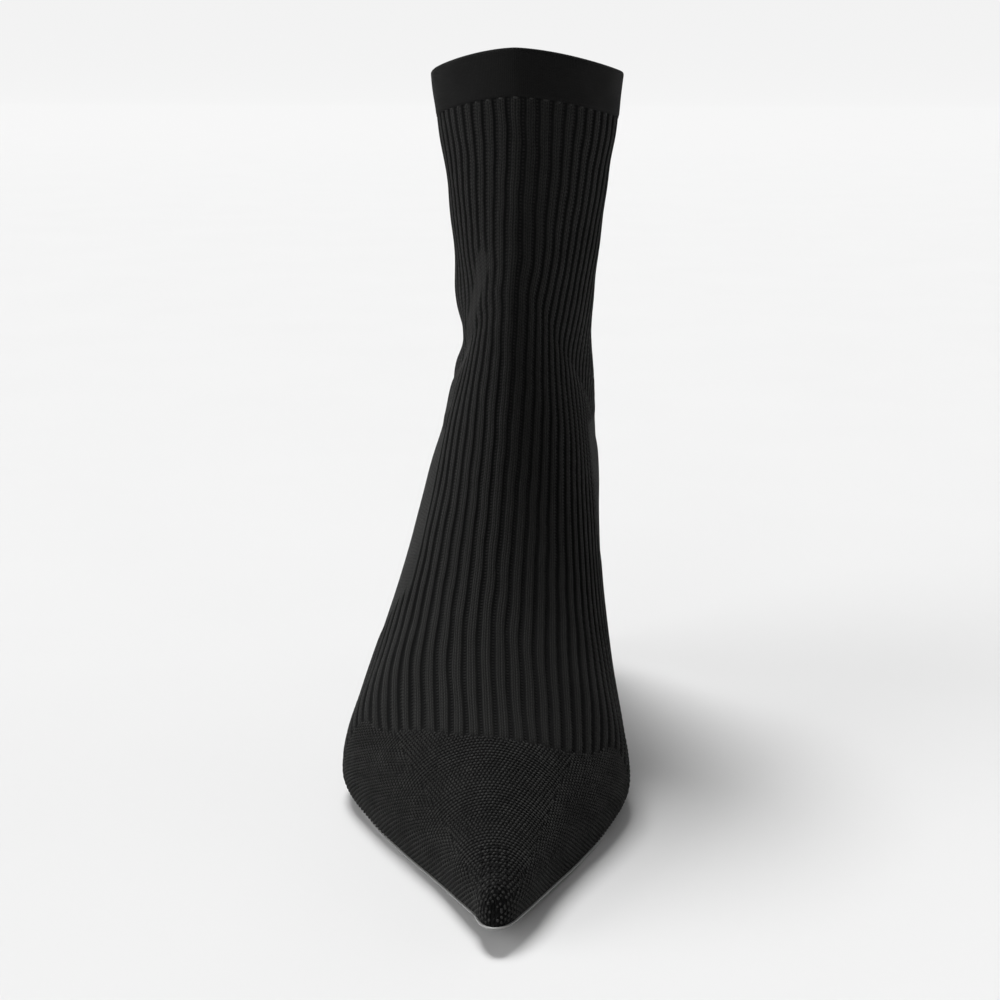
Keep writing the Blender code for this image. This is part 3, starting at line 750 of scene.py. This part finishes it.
def stitch_places(courses, wales_at):
    """Points, outward and sideways directions and distances to the edge, for courses along the ridge."""
    parts = []
    for course in courses:
        row = float(np.interp(course, ridge_run, np.arange(len(ridge_run))))
        low, part = min(int(row), len(ridge_run) - 2), row % 1
        ring = skin_points[low] * (1 - part) + skin_points[low + 1] * part
        out = skin_out[low] * (1 - part) + skin_out[low + 1] * part
        apart = skin_apart[low] * (1 - part) + skin_apart[low + 1] * part
        places = np.array(wales_at(course, apart))
        if not len(places):
            continue
        at, facing_out, nudged = [
            np.column_stack([np.interp(where, apart, grid[:, k]) for k in range(3)])
            for where, grid in ((places, ring), (places, out), (places + NUDGE, ring))
        ]
        to_edge = np.minimum(places - apart[0], apart[-1] - places)
        parts.append((at, facing_out, nudged - at, to_edge))
    return [np.concatenate(part) for part in zip(*parts)]


WALE, TOE_COURSE = 0.00114, 0.00108
TIP_REACH = 0.0205
skin_out = facing(skin_points)
ridge = skin_points[:, HALF_COLUMNS]
ridge_run = np.concatenate([[0], np.cumsum(np.linalg.norm(np.diff(ridge, axis=0), axis=1))])


def toe_wales(course, apart):
    """Wales counted from the ridge in the middle, and from the sole's edge at the sides."""
    places, odd_course = [], int(course / TOE_COURSE) % 2
    for side, reach in ((-1, -apart[0]), (1, apart[-1])):
        start = 0.5 if odd_course else float(side < 0)
        counted = (np.arange(int(reach / WALE) + 1) + start) * WALE
        middle = counted[counted < reach / 2]
        edge = reach - counted[counted <= reach / 2]
        places += [side * place for place in np.concatenate([middle, edge])]
    if odd_course and course < TIP_REACH:
        places = [place for place in places if abs(place) > 4 * WALE or int(place // WALE) % 2]
    return sorted(places)


def eyelet_wales(course, apart):
    """The loops that the tip leaves out."""
    if not int(course / TOE_COURSE) % 2:
        return []
    return [(k + 0.5) * WALE for k in (-4, -2, 0, 2)]


def rib_tops(course, apart):
    """The middle of each rib but the one at the back."""
    return np.arange(-21, 22) * (apart[-1] - apart[0]) / RIBS_ROUND_LEG


def on_toe(places):
    """Keeps the places that lie ahead of the line across the vamp and clear of the hem."""
    points, to_edge = places[0], places[3]
    keep = (points[:, 1] < vamp_line(points[:, 0]) + 0.0002) & (to_edge > 0.0007)
    return [part[keep] for part in places[:3]]


toe_courses = np.arange(0.0012, np.interp(6.0, row_steps, ridge_run), TOE_COURSE)
toe_places = on_toe(stitch_places(toe_courses, toe_wales))
under = float(np.interp(cuff_step - 0.03, row_steps, ridge_run))
link_places = stitch_places([under], rib_tops)
tip_courses = toe_courses[(toe_courses > 0.0055) & (toe_courses < TIP_REACH)]
eyelet_places = on_toe(stitch_places(tip_courses, eyelet_wales))
print("stitches, eyelets and loops:", [len(places[0]) for places in (toe_places, eyelet_places, link_places)])


# %% A node tree that sets beads
def point_mesh(name, points, outs, sides):
    """A mesh of points that remember which way is out and which is across the wale."""
    mesh = bpy.data.meshes.new(name)
    mesh.from_pydata(points.tolist(), [], [])
    for key, value in (("out", outs), ("across", sides)):
        layer = mesh.attributes.new(key, "FLOAT_VECTOR", "POINT")
        layer.data.foreach_set("vector", value.astype(np.float32).ravel())
    return mesh


BEAD_SIZES = ("Bead width", "Bead length", "Bead height", "Unevenness")
RANDOM_SEED = 7


def bead_tree():
    """One low bead on each point, turned by the point's own two directions."""
    tree, keys, given, (width, length, height, uneven) = node_tree("set_beads", BEAD_SIZES)
    ball = add_node(tree, "GeometryNodeMeshIcoSphere", None, {"Radius": 0.5, "Subdivisions": 1})
    smooth = add_node(tree, "GeometryNodeSetShadeSmooth", None, {"Geometry": ball.outputs["Mesh"]})
    ways = {place: attribute(tree, key, "FLOAT_VECTOR") for place, key in enumerate(("out", "across"))}
    axes = {"primary_axis": "Z", "secondary_axis": "X"}
    turned = add_node(tree, "FunctionNodeAxesToRotation", axes, ways)
    # the node's inputs 2 and 3, and its output 1, are its plain numbers
    limits = {2: 1.0 - uneven, 3: 1.0 + uneven, "Seed": RANDOM_SEED}
    share = Value(tree, add_node(tree, "FunctionNodeRandomValue", {"data_type": "FLOAT"}, limits).outputs[1])
    parts = {0: width * share, 1: length * share, 2: height * 2.0}
    scale = add_node(tree, "ShaderNodeCombineXYZ", None, parts)
    values = {"Points": given["Skin"], "Instance": smooth.outputs["Geometry"]}
    values.update({"Rotation": turned.outputs["Rotation"], "Scale": scale.outputs[0]})
    beads = add_node(tree, "GeometryNodeInstanceOnPoints", None, values)
    finish_tree(tree, beads.outputs["Instances"], given["Material"])
    return tree, keys


def bead_material(name, low, high):
    """Matte, a little fuzzy and uneven in tone: the yarn of a loop's head, and at the eyelets near-black
    painted shade.
    """
    material, tree = new_material(name)
    mottle = noise(tree, 150.0)
    colour = mix_colour(ramp(mottle, 0.3, 0.7), low, high)
    return dress(material, noise(tree, 3000.0), (0.00008, 0.6), colour, mottle, (0.80, 0.92), YARN)


bead_black = bead_material("knit_beads", (0.0230, 0.0230, 0.0224), (0.0400, 0.0400, 0.0388))
link_black = bead_material("link_yarn", (0.0170, 0.0170, 0.0166), (0.0270, 0.0270, 0.0262))
# painted shade: low near-black beads stand for the shade inside the eyelet holes
eyelet_shade_beads = bead_material("eyelet_painted_shade", (0.0010, 0.0010, 0.0010), (0.0022, 0.0022, 0.0022))
set_beads = bead_tree()
bead_pieces = []
for name, places, sizes, yarn in (
    ("toe_stitches", toe_places, (0.00089, 0.00076, 0.00050, 0.15), bead_black),
    ("link_loops", link_places, (0.0021, 0.0009, 0.00065, 0.15), link_black),
    # painted shade in the eyelets
    ("tip_eyelet_shade", eyelet_places, (0.00092, 0.00086, 0.00030, 0.05), eyelet_shade_beads),
):
    piece = add_piece(name, point_mesh(name, *places[:3]))
    run_tree(piece, *set_beads, {**dict(zip(BEAD_SIZES, sizes)), "Material": yarn})
    bead_pieces.append(piece)
    print(name, len(places[0]), "beads,", len(piece.data.polygons), "faces")
toe_stitches, link_loops, tip_eyelet_shade = bead_pieces

# %% [markdown]
# ## The cuff
#
# The knit is folded over at the top into a plain, doubled welt that stands a little proud of the ribs.
# One profile, swept round the collar as rings at their own distance from the skin, makes its face, its
# rounded fold and its inside.

# %% Sweep the cuff
collar_step = len(LAST_ROWS) - 1.0
CUFF_PROUD, CUFF_WALL = 0.00055, 0.0021
CUFF_COLUMNS = 180
outside = np.linspace(cuff_step - 0.005, collar_step - 0.05, 18)
inside = outside[::-1][:14]
profile = [(outside[0] + 0.012, -0.0009)]
profile += [(outside[0], -0.0001), (outside[0] - 0.004, CUFF_PROUD * 0.75)]
profile += [(step, CUFF_PROUD) for step in outside[1:]]
for angle in np.linspace(0.15, 0.85, 6) * math.pi:
    half_wall = CUFF_WALL / 2
    rise = math.sin(angle) * 0.05
    profile.append((collar_step - 0.05 + rise, CUFF_PROUD - half_wall + half_wall * math.cos(angle)))
profile += [(step, CUFF_PROUD - CUFF_WALL) for step in inside]
profile += [(inside[-1], CUFF_PROUD - CUFF_WALL + 0.0006)]
order = np.array([step for step, out in profile])
cuff_points, cuff_apart = skin(np.minimum(order, collar_step), CUFF_COLUMNS)
level_steps = np.linspace(cuff_step - 0.1, collar_step, 30)
level_points = skin(level_steps, CUFF_COLUMNS)[0]
level_out = facing(level_points)
level_out[:, 0] = level_out[:, -1] = (level_out[:, 0] + level_out[:, -1]) / 2
nearest = np.interp(np.minimum(order, collar_step), level_steps, np.arange(len(level_steps)))
below, part = np.floor(nearest).astype(int), (nearest % 1)[:, None, None]
above = np.minimum(below + 1, len(level_steps) - 1)
cuff_out = level_out[below] * (1 - part) + level_out[above] * part
cuff_out /= np.linalg.norm(cuff_out, axis=2)[..., None]
reach = np.array([out for step, out in profile])[:, None]
ripple = 0.00012 * np.sin(cuff_apart * 260) * np.sin(np.arange(1, len(profile) + 1)[:, None] * 0.33)
cuff_points = sink_collar(cuff_points + cuff_out * (reach + ripple)[..., None])
cuff_line = np.linalg.norm(np.diff(cuff_points[:, CUFF_COLUMNS // 2], axis=0), axis=1)
cuff_v = np.concatenate([[0], np.cumsum(cuff_line)]) / 0.0009
cuff_u = cuff_apart / (cuff_apart[:, -1:] - cuff_apart[:, :1]) * RIBS_ROUND_LEG * 4
cuff_uv = np.dstack([cuff_u, cuff_v[:, None] + 0 * cuff_u])
every_row = np.ones(len(profile), bool)
cuff_mesh = grid_mesh("knit_cuff", cuff_points, every_row, cuff_uv)
knit_cuff = add_piece("knit_cuff", cuff_mesh)

# the welt's stitches are finer and smoother, and seen only as a faint grain
cuff_black, tree = new_material("knit_cuff_black")
height, mottle = stitch_height(tree, 0.0), noise(tree, 70.0)
surface = noise(tree, 2400.0) * 0.35 + height
# painted highlight and shade: the welt's colour is lighter on the stitches' tops and darker between them
colour = mix_colour((height * 0.45 + 0.35) * mottle, (0.0036, 0.0036, 0.0037), (0.0122, 0.0122, 0.0117))
cuff_sockets = {**YARN, "Sheen Weight": 0.015, "Specular IOR Level": 0.08}
dress(cuff_black, surface, (0.00018, 0.7), colour, mottle, (0.78, 0.90), cuff_sockets)
knit_cuff.data.materials.append(cuff_black)
print("cuff:", len(cuff_mesh.polygons), "faces")

# %% [markdown]
# ## Inside: the knit's back and the insole
#
# A viewer who looks into the collar sees the back of the knit and, far below, the insole. The inner wall
# is the same skin moved inwards by the knit's thickness, with its faces turned round.

# %% The inner wall
leg_part = np.linspace(HEEL_STEP, collar_step - 0.2, 40)[1:]
inner_steps = np.concatenate([np.linspace(0, HEEL_STEP, 60), leg_part])
inner_points, inner_apart = skin(inner_steps, 70)
inner_out = facing(inner_points)
inner_points = sink_collar(inner_points - inner_out * KNIT_WALL)
inner_foot = inner_steps <= HEEL_STEP
floor_level = sole_seat(MIDDLE_Y - inner_points[..., 1]) + KNIT_WALL + 0.0004
inner_points[inner_foot, :, 2] = np.maximum(inner_points[inner_foot, :, 2], floor_level[inner_foot])
inner_v = np.arange(len(inner_steps))[:, None] * 2.2 + 0 * inner_apart
inner_uv = np.dstack([inner_apart / 0.0014, inner_v])
inner_mesh = grid_mesh("knit_inside", inner_points, ~inner_foot, inner_uv, flip=True)
knit_inside = add_piece("knit_inside", inner_mesh)
knit_inside.data.materials.append(cuff_black)
print("inner wall:", len(inner_mesh.polygons), "faces")

# %% [markdown]
# ## Insole, outsole and heel
#
# The boards under the foot are cut to the seat's outline. Each is a stack of closed outlines: moved in
# for the insole, a little out for the outsole, and rounded where an edge would be trimmed and inked.

# %% Outlines of the seat
EDGE_STATIONS = 110


def seat_places(last, count=EDGE_STATIONS):
    """Places along the seat, crowded where its two ends are round."""
    heel_end, toe_start = SEAT_EDGE[0][0] * LENGTH, SEAT_EDGE[-1][0] * LENGTH
    turn = np.linspace(0, np.pi / 2, 16)
    heel = heel_end - (heel_end - SEAT_BACK * LENGTH) * np.cos(turn)
    toe = TOE_END - (TOE_END - toe_start) * np.cos(turn) ** 2
    places = np.concatenate([heel[:-1], np.linspace(heel_end, toe_start, count), toe[1:]])
    return np.append(places[places < last - SEAM_GAP], last)


def edge_loop(places, outset):
    """The seat's edge in plan, moved outwards: up the lateral side from the heel, and down the medial."""
    sides = seat_edge(places)
    lateral, medial = np.column_stack([-sides[:, 0], places]), np.column_stack([sides[:, 1], places])
    closed = np.allclose(lateral[-1], medial[-1])
    loop = np.vstack([lateral, medial[-2 if closed else -1 : 0 : -1]])
    run = np.roll(loop, -1, axis=0) - np.roll(loop, 1, axis=0)
    outwards = np.column_stack([-run[:, 1], run[:, 0]]) / np.linalg.norm(run, axis=1)[:, None]
    return loop + outset * outwards


def layer(along, above):
    """Height of a layer that lies `above` the seat, measured square to it."""
    near = SEAM_GAP
    slope = (sole_seat(along + near) - sole_seat(along - near)) / (2 * near)
    return sole_seat(along) + above * np.sqrt(1 + slope**2)


def seat_points(loop, above):
    """Points of the scene for an outline, on a layer."""
    return np.column_stack([MIDDLE_X + loop[:, 0], MIDDLE_Y - loop[:, 1], layer(loop[:, 1], above)])


def strip_across(mesh, verts):
    """Faces across a closed outline, from its lateral half to its medial half."""
    for k in range(len(verts) // 2):
        corners = [verts[k], verts[k + 1], verts[-k - 1], verts[-k] if k else verts[0]]
        corners = list(dict.fromkeys(corners))
        if len(corners) > 2:
            mesh.faces.new(corners)


def flat_cap(mesh, verts):
    """One face over a closed outline."""
    mesh.faces.new(verts)


def loft(name, rings, cap=None, sharp=None):
    """A piece through closed rings of points. `cap` fills its ends, or else the last ring meets the first."""
    mesh = bmesh.new()
    made = [[mesh.verts.new(point) for point in ring] for ring in rings]
    for low, high in zip(made, made[1:] if cap else made[1:] + made[:1]):
        for index, corner in enumerate(low):
            mesh.faces.new([corner, low[index - 1], high[index - 1], high[index]])
    if cap:
        cap(mesh, made[0])
        cap(mesh, made[-1])
    bmesh.ops.recalc_face_normals(mesh, faces=mesh.faces)
    data = bpy.data.meshes.new(name)
    mesh.to_mesh(data)
    mesh.free()
    data.shade_smooth()
    if sharp:
        data.set_sharp_from_angle(angle=math.radians(sharp))
    return add_piece(name, data)


def outlines(levels, last=TOE_END):
    """Rings of a plate, each given as an outset from the seat's edge and a level, as far as `last`."""
    return [seat_points(edge_loop(seat_places(last), outset), above) for outset, above in levels]


INSOLE_IN = -(KNIT_WALL + SEAM_GAP + 0.0014)
INSOLE_END = 0.955 * LENGTH
EDGE_ANGLE = 35
insole_levels = [(INSOLE_IN - 0.0004, 0.0021), (INSOLE_IN, 0.0024)]
insole_levels += [(INSOLE_IN, 0.0037), (INSOLE_IN - 0.0005, 0.0041)]
insole_board = loft("insole_board", outlines(insole_levels, INSOLE_END), strip_across, EDGE_ANGLE)
bottom = -SEAM_GAP - SOLE_THICKNESS
outsole_levels = [(-0.0026, bottom), (-0.0012, bottom + 0.0001), (-0.0003, bottom + 0.0003)]
outsole_levels += [(-0.0003, bottom + 0.0007), (-0.0016, bottom + 0.0008), (-0.0016, -0.0005)]
outsole_board = loft("outsole_board", outlines(outsole_levels), strip_across, EDGE_ANGLE)
print("boards:", len(insole_board.data.polygons), len(outsole_board.data.polygons), "faces")

# %% [markdown]
# The cut edge of the thin sole shows as one fine line under the knit: a slim rounded lip all round it,
# painted pale grey as a highlight where the floor's light catches the glossy edge.

# %% The sole's edge line
lip = [(-0.0012, 0.00022), (0.0003, 0.00024), (0.0006, 0.00036), (0.0007, 0.00052), (0.0006, 0.00068)]
lip += [(0.0003, 0.00078), (-0.0012, 0.00080)]
sole_lip = loft("sole_lip", outlines([(outset, bottom + up) for outset, up in lip]))
print("edge line:", len(sole_lip.data.polygons), "faces")

# %% [markdown]
# The heel starts as wide as the seat, draws in quickly and runs down almost straight to its tip. It is
# lofted from the seat's outline to the tip's, with the few shares that a heel maker would mark on the
# block's back, breast and sides.

# %% Loft the heel
HEEL_ROWS = (  # down, back, breast, width
    (0.00, 0.00, 0.00, 0.00),
    (0.10, 0.12, 0.36, 0.17),
    (0.22, 0.32, 0.64, 0.42),
    (0.38, 0.60, 0.84, 0.70),
    (0.62, 0.88, 0.96, 0.92),
    (1.00, 1.00, 1.00, 1.00),
)
HEEL_INSET, HEEL_SEAT_LENGTH, BREAST_HOLLOW = 0.001, 0.037, 0.005
TIP_SET, TIP_LENGTH, TIP_WIDTH, TIP_THICKNESS = 0.011, 0.011, 0.010, tip_high.z - tip_low.z
TURN_STATIONS, BREAST_STATIONS, HEEL_LEVELS = 22, 12, 34


def heel_outlines():
    """The outline of the heel under the seat, and of its tip, point for point."""
    start = SEAT_BACK * LENGTH
    breast = start + HEEL_SEAT_LENGTH
    turn = np.linspace(0, np.pi / 2, TURN_STATIONS)
    loop = edge_loop(breast - (breast - start) * np.cos(turn), -HEEL_INSET)
    side = TURN_STATIONS - 1
    share = np.linspace(-1, 1, BREAST_STATIONS + 2)[1:-1]
    low, high = loop[side], loop[side + 1]
    across = (low[0] + high[0]) / 2 + share * (high[0] - low[0]) / 2
    hollow = np.column_stack([across, low[1] - BREAST_HOLLOW * (1 - share**2)])
    top = np.vstack([loop[: side + 1], hollow, loop[side + 1 :]])
    tip_front = start + TIP_SET + TIP_LENGTH
    lateral = np.column_stack([-TIP_WIDTH / 2 * np.sin(turn), tip_front - TIP_LENGTH * np.cos(turn)])
    front = np.column_stack([share * TIP_WIDTH / 2, np.full(BREAST_STATIONS, tip_front)])
    return top, np.vstack([lateral, front, lateral[:0:-1] * (-1, 1)])


top, tip = heel_outlines()
top_up = layer(top[:, 1], -SOLE_THICKNESS - 2 * SEAM_GAP)
tip_up = TIP_THICKNESS + SEAM_GAP
back, breast = top[0, 1], top[TURN_STATIONS - 1, 1]
forward = np.clip((top[:, 1] - back) / (breast - back), 0, 1)
rows = np.array(HEEL_ROWS)
heel_rings = []
levels = smooth_through(np.arange(len(rows)), rows, np.linspace(0, len(rows) - 1, HEEL_LEVELS))
for down, row_back, row_breast, width in levels:
    moved = row_back + (row_breast - row_back) * forward
    across = top[:, 0] + (tip[:, 0] - top[:, 0]) * width
    along = top[:, 1] + (tip[:, 1] - top[:, 1]) * moved
    up = top_up + (tip_up - top_up) * down
    heel_rings.append(np.column_stack([MIDDLE_X + across, MIDDLE_Y - along, up]))
heel_block = loft("heel_block", heel_rings, flat_cap, 48)

tip_middle = np.array([0.0, tip[:, 1].mean()])
tip_rings = []
tip_levels = ((0.93, 0.0), (0.985, 0.0004), (1.0, 0.0011), (1.0, 0.0050), (0.975, 0.0056), (0.93, 0.0059))
for scale, up in tip_levels:
    across, along = (tip_middle + (tip - tip_middle) * scale).T
    tip_rings.append(np.column_stack([MIDDLE_X + across, MIDDLE_Y - along, np.full(len(tip), up)]))
heel_lift = loft("heel_lift", tip_rings, flat_cap, 50)
print("heel:", len(heel_block.data.polygons), "faces, tip", len(heel_lift.data.polygons))

# %% [markdown]
# Their finishes are quiet: a black, satin sole and heel, a duller tip and a soft lining. One function
# makes them all, because they differ only in tone, grain and gloss.


# %% Finishes of the sole and heel
def grained_material(name, low, high, grain, depth, rough, sockets):
    """A finish with a fine grain in its bump, and a slow change of tone and gloss."""
    material, tree = new_material(name)
    fine, slow = noise(tree, grain, 4.0), noise(tree, grain / 30)
    return dress(material, fine, (depth, 0.6), mix_colour(slow, low, high), slow, rough, sockets)


SATIN = (0.30, 0.42)
for piece, name, low, high, grain, depth, rough, sockets in (
    # painted highlight: the sole's edge line is pale grey for the floor's light caught on the glossy edge
    (sole_lip, "edge_painted_highlight", (0.22, 0.22, 0.216), (0.30, 0.30, 0.294), 1400.0, 0.00004, (0.35, 0.5),
     {"Coat Weight": 0.2}),
    (insole_board, "insole_lining", (0.10, 0.082, 0.062), (0.17, 0.14, 0.108), 900.0, 0.00012, (0.62, 0.78),
     {"Sheen Weight": 0.1}),
    (outsole_board, "sole_black", (0.007,) * 3, (0.013,) * 3, 1400.0, 0.00005, SATIN, {"Coat Weight": 0.25}),
    (heel_block, "heel_lacquer", (0.006,) * 3, (0.011,) * 3, 500.0, 0.00003, SATIN,
     {"Specular IOR Level": 0.2}),
    (heel_lift, "tip_rubber", (0.016,) * 3, (0.028,) * 3, 1800.0, 0.00012, (0.6, 0.8), {}),
):
    piece.data.materials.append(grained_material(name, low, high, grain, depth, rough, sockets))

# %% [markdown]
# ## What replaces what
#
# Every dressed piece rides on the boot's one body and stands for a solid, which is hidden.

# %% Ride and replace
for piece, node, slot in (
    (knit_upper, "upper", "knit"),
    (toe_stitches, "upper", "knit"),
    (link_loops, "upper", "knit"),
    (tip_eyelet_shade, "upper", "knit"),
    (knit_cuff, "upper", "knit"),
    (knit_inside, "upper", "knit"),
    (insole_board, "insole", "insole"),
    (outsole_board, "outsole", "sole"),
    (sole_lip, "outsole", "sole"),
    (heel_block, "heel", "heel"),
    (heel_lift, "heel_tip", "tip"),
):
    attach(piece, "root")
    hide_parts(node)

# %% [markdown]
# ## The studio
#
# A pale floor curves up into a wall that glows softly, so no edge shows behind the boot. One soft light
# above and a little behind puts a close shadow round the toe. A broad, low one comes from the left,
# because the left half of the boot is the lighter one, and two weak ones fill. The air is brighter to the
# camera than to the boot, so the background stays pale while the knit stays black.


# %% Floor, light and camera
BACKDROP, AIR = 0.885, 0.13


def studio_floor():
    """A floor that sweeps up into a wall behind."""
    turn = np.linspace(0, math.pi / 2, 24)
    curve = [(-7.0, 0.0), (7.0, 0.0)]
    curve += [(7.0 + 3.0 * math.sin(angle), 3.0 - 3.0 * math.cos(angle)) for angle in turn[1:]]
    curve.append((10.0, 5.0))
    points = [(x, y, z) for y, z in curve for x in (-9.0, 9.0)]
    faces = [(2 * k, 2 * k + 1, 2 * k + 3, 2 * k + 2) for k in range(len(curve) - 1)]
    mesh = bpy.data.meshes.new("studio_floor")
    mesh.from_pydata(points, [], faces)
    mesh.shade_smooth()
    floor = add_piece("studio_floor", mesh)
    material, tree = new_material("studio_paper")
    shader = tree.nodes["Principled BSDF"]
    paper = mix_colour(noise(tree, 9.0, 2.0), (0.69, 0.69, 0.69), (0.71, 0.71, 0.71))
    where = tree.nodes.new("ShaderNodeTexCoord").outputs["Object"]
    back = add_node(tree, "ShaderNodeSeparateXYZ", None, {0: where}).outputs[1]
    glow = ramp(Value(tree, back), 1.0, 6.5)
    tree.links.new(mix_colour(glow, paper, (0.0, 0.0, 0.0)), shader.inputs["Base Color"])
    tree.links.new((glow * BACKDROP).socket, shader.inputs["Emission Strength"])
    shader.inputs["Emission Color"].default_value = (1.0, 1.0, 1.0, 1.0)
    shader.inputs["Roughness"].default_value = 0.9
    shader.inputs["Specular IOR Level"].default_value = 0.1
    mesh.materials.append(material)
    return floor


studio_floor()


def soft_sun(name, towards, angle, strength):
    """A broad, even light: like a large window, the same over the whole floor."""
    data = bpy.data.lights.new(name, "SUN")
    data.angle, data.energy = math.radians(angle), strength
    light = bpy.data.objects.new(name, data)
    light.rotation_euler = Vector(towards).to_track_quat("-Z", "Y").to_euler()
    bpy.context.scene.collection.objects.link(light)
    return light


soft_sun("window_left", (1.0, 0.28, -0.30), 50, 1.9)
soft_sun("top_back", (0.22, -0.42, -1.0), 24, 3.0)
soft_sun("low_right", (-1.0, -0.55, -0.35), 60, 0.30)
soft_sun("front_fill", (0.30, 1.0, -0.42), 60, 0.60)
bpy.context.scene.view_settings.view_transform = "Standard"
world = bpy.data.worlds.new("studio_air")
bpy.context.scene.world = world
world.use_nodes = True
air = world.node_tree.nodes["Background"]
air.inputs["Color"].default_value = (1.0, 1.0, 1.0, 1.0)
seen = Value(world.node_tree, world.node_tree.nodes.new("ShaderNodeLightPath").outputs["Is Camera Ray"])
world.node_tree.links.new(mixed(seen, AIR, BACKDROP).socket, air.inputs["Strength"])

# the camera's place follows from the boot's outline in the photograph, and it looks down by its pitch
CAMERA_PLACE = Vector((0.0579, -0.5369, 0.229))
CAMERA_PITCH = math.radians(14.47)
FOCAL_PIXELS, FRAME_PIXELS = 1738.0, 1000.0
aim_at = Vector((MIDDLE_X, 0.0, 0.0)) - CAMERA_PLACE
heading = math.atan2(-aim_at.x, aim_at.y)
camera_data = bpy.data.cameras.new("camera")
camera_data.sensor_width = 36.0
camera_data.lens = 36.0 * FOCAL_PIXELS / FRAME_PIXELS
camera = bpy.data.objects.new("camera", camera_data)
camera.location = CAMERA_PLACE
camera.rotation_euler = (math.pi / 2 - CAMERA_PITCH, 0.0, heading)
bpy.context.scene.collection.objects.link(camera)
bpy.context.scene.camera = camera
print("camera heading %.2f degrees, lens %.1f mm" % (math.degrees(heading), camera_data.lens))

# %% [markdown]
# ## Bringing the scene up to date
#
# The scene is brought up to date before the frame is closed.

# %% Update the scene
bpy.context.view_layer.update()
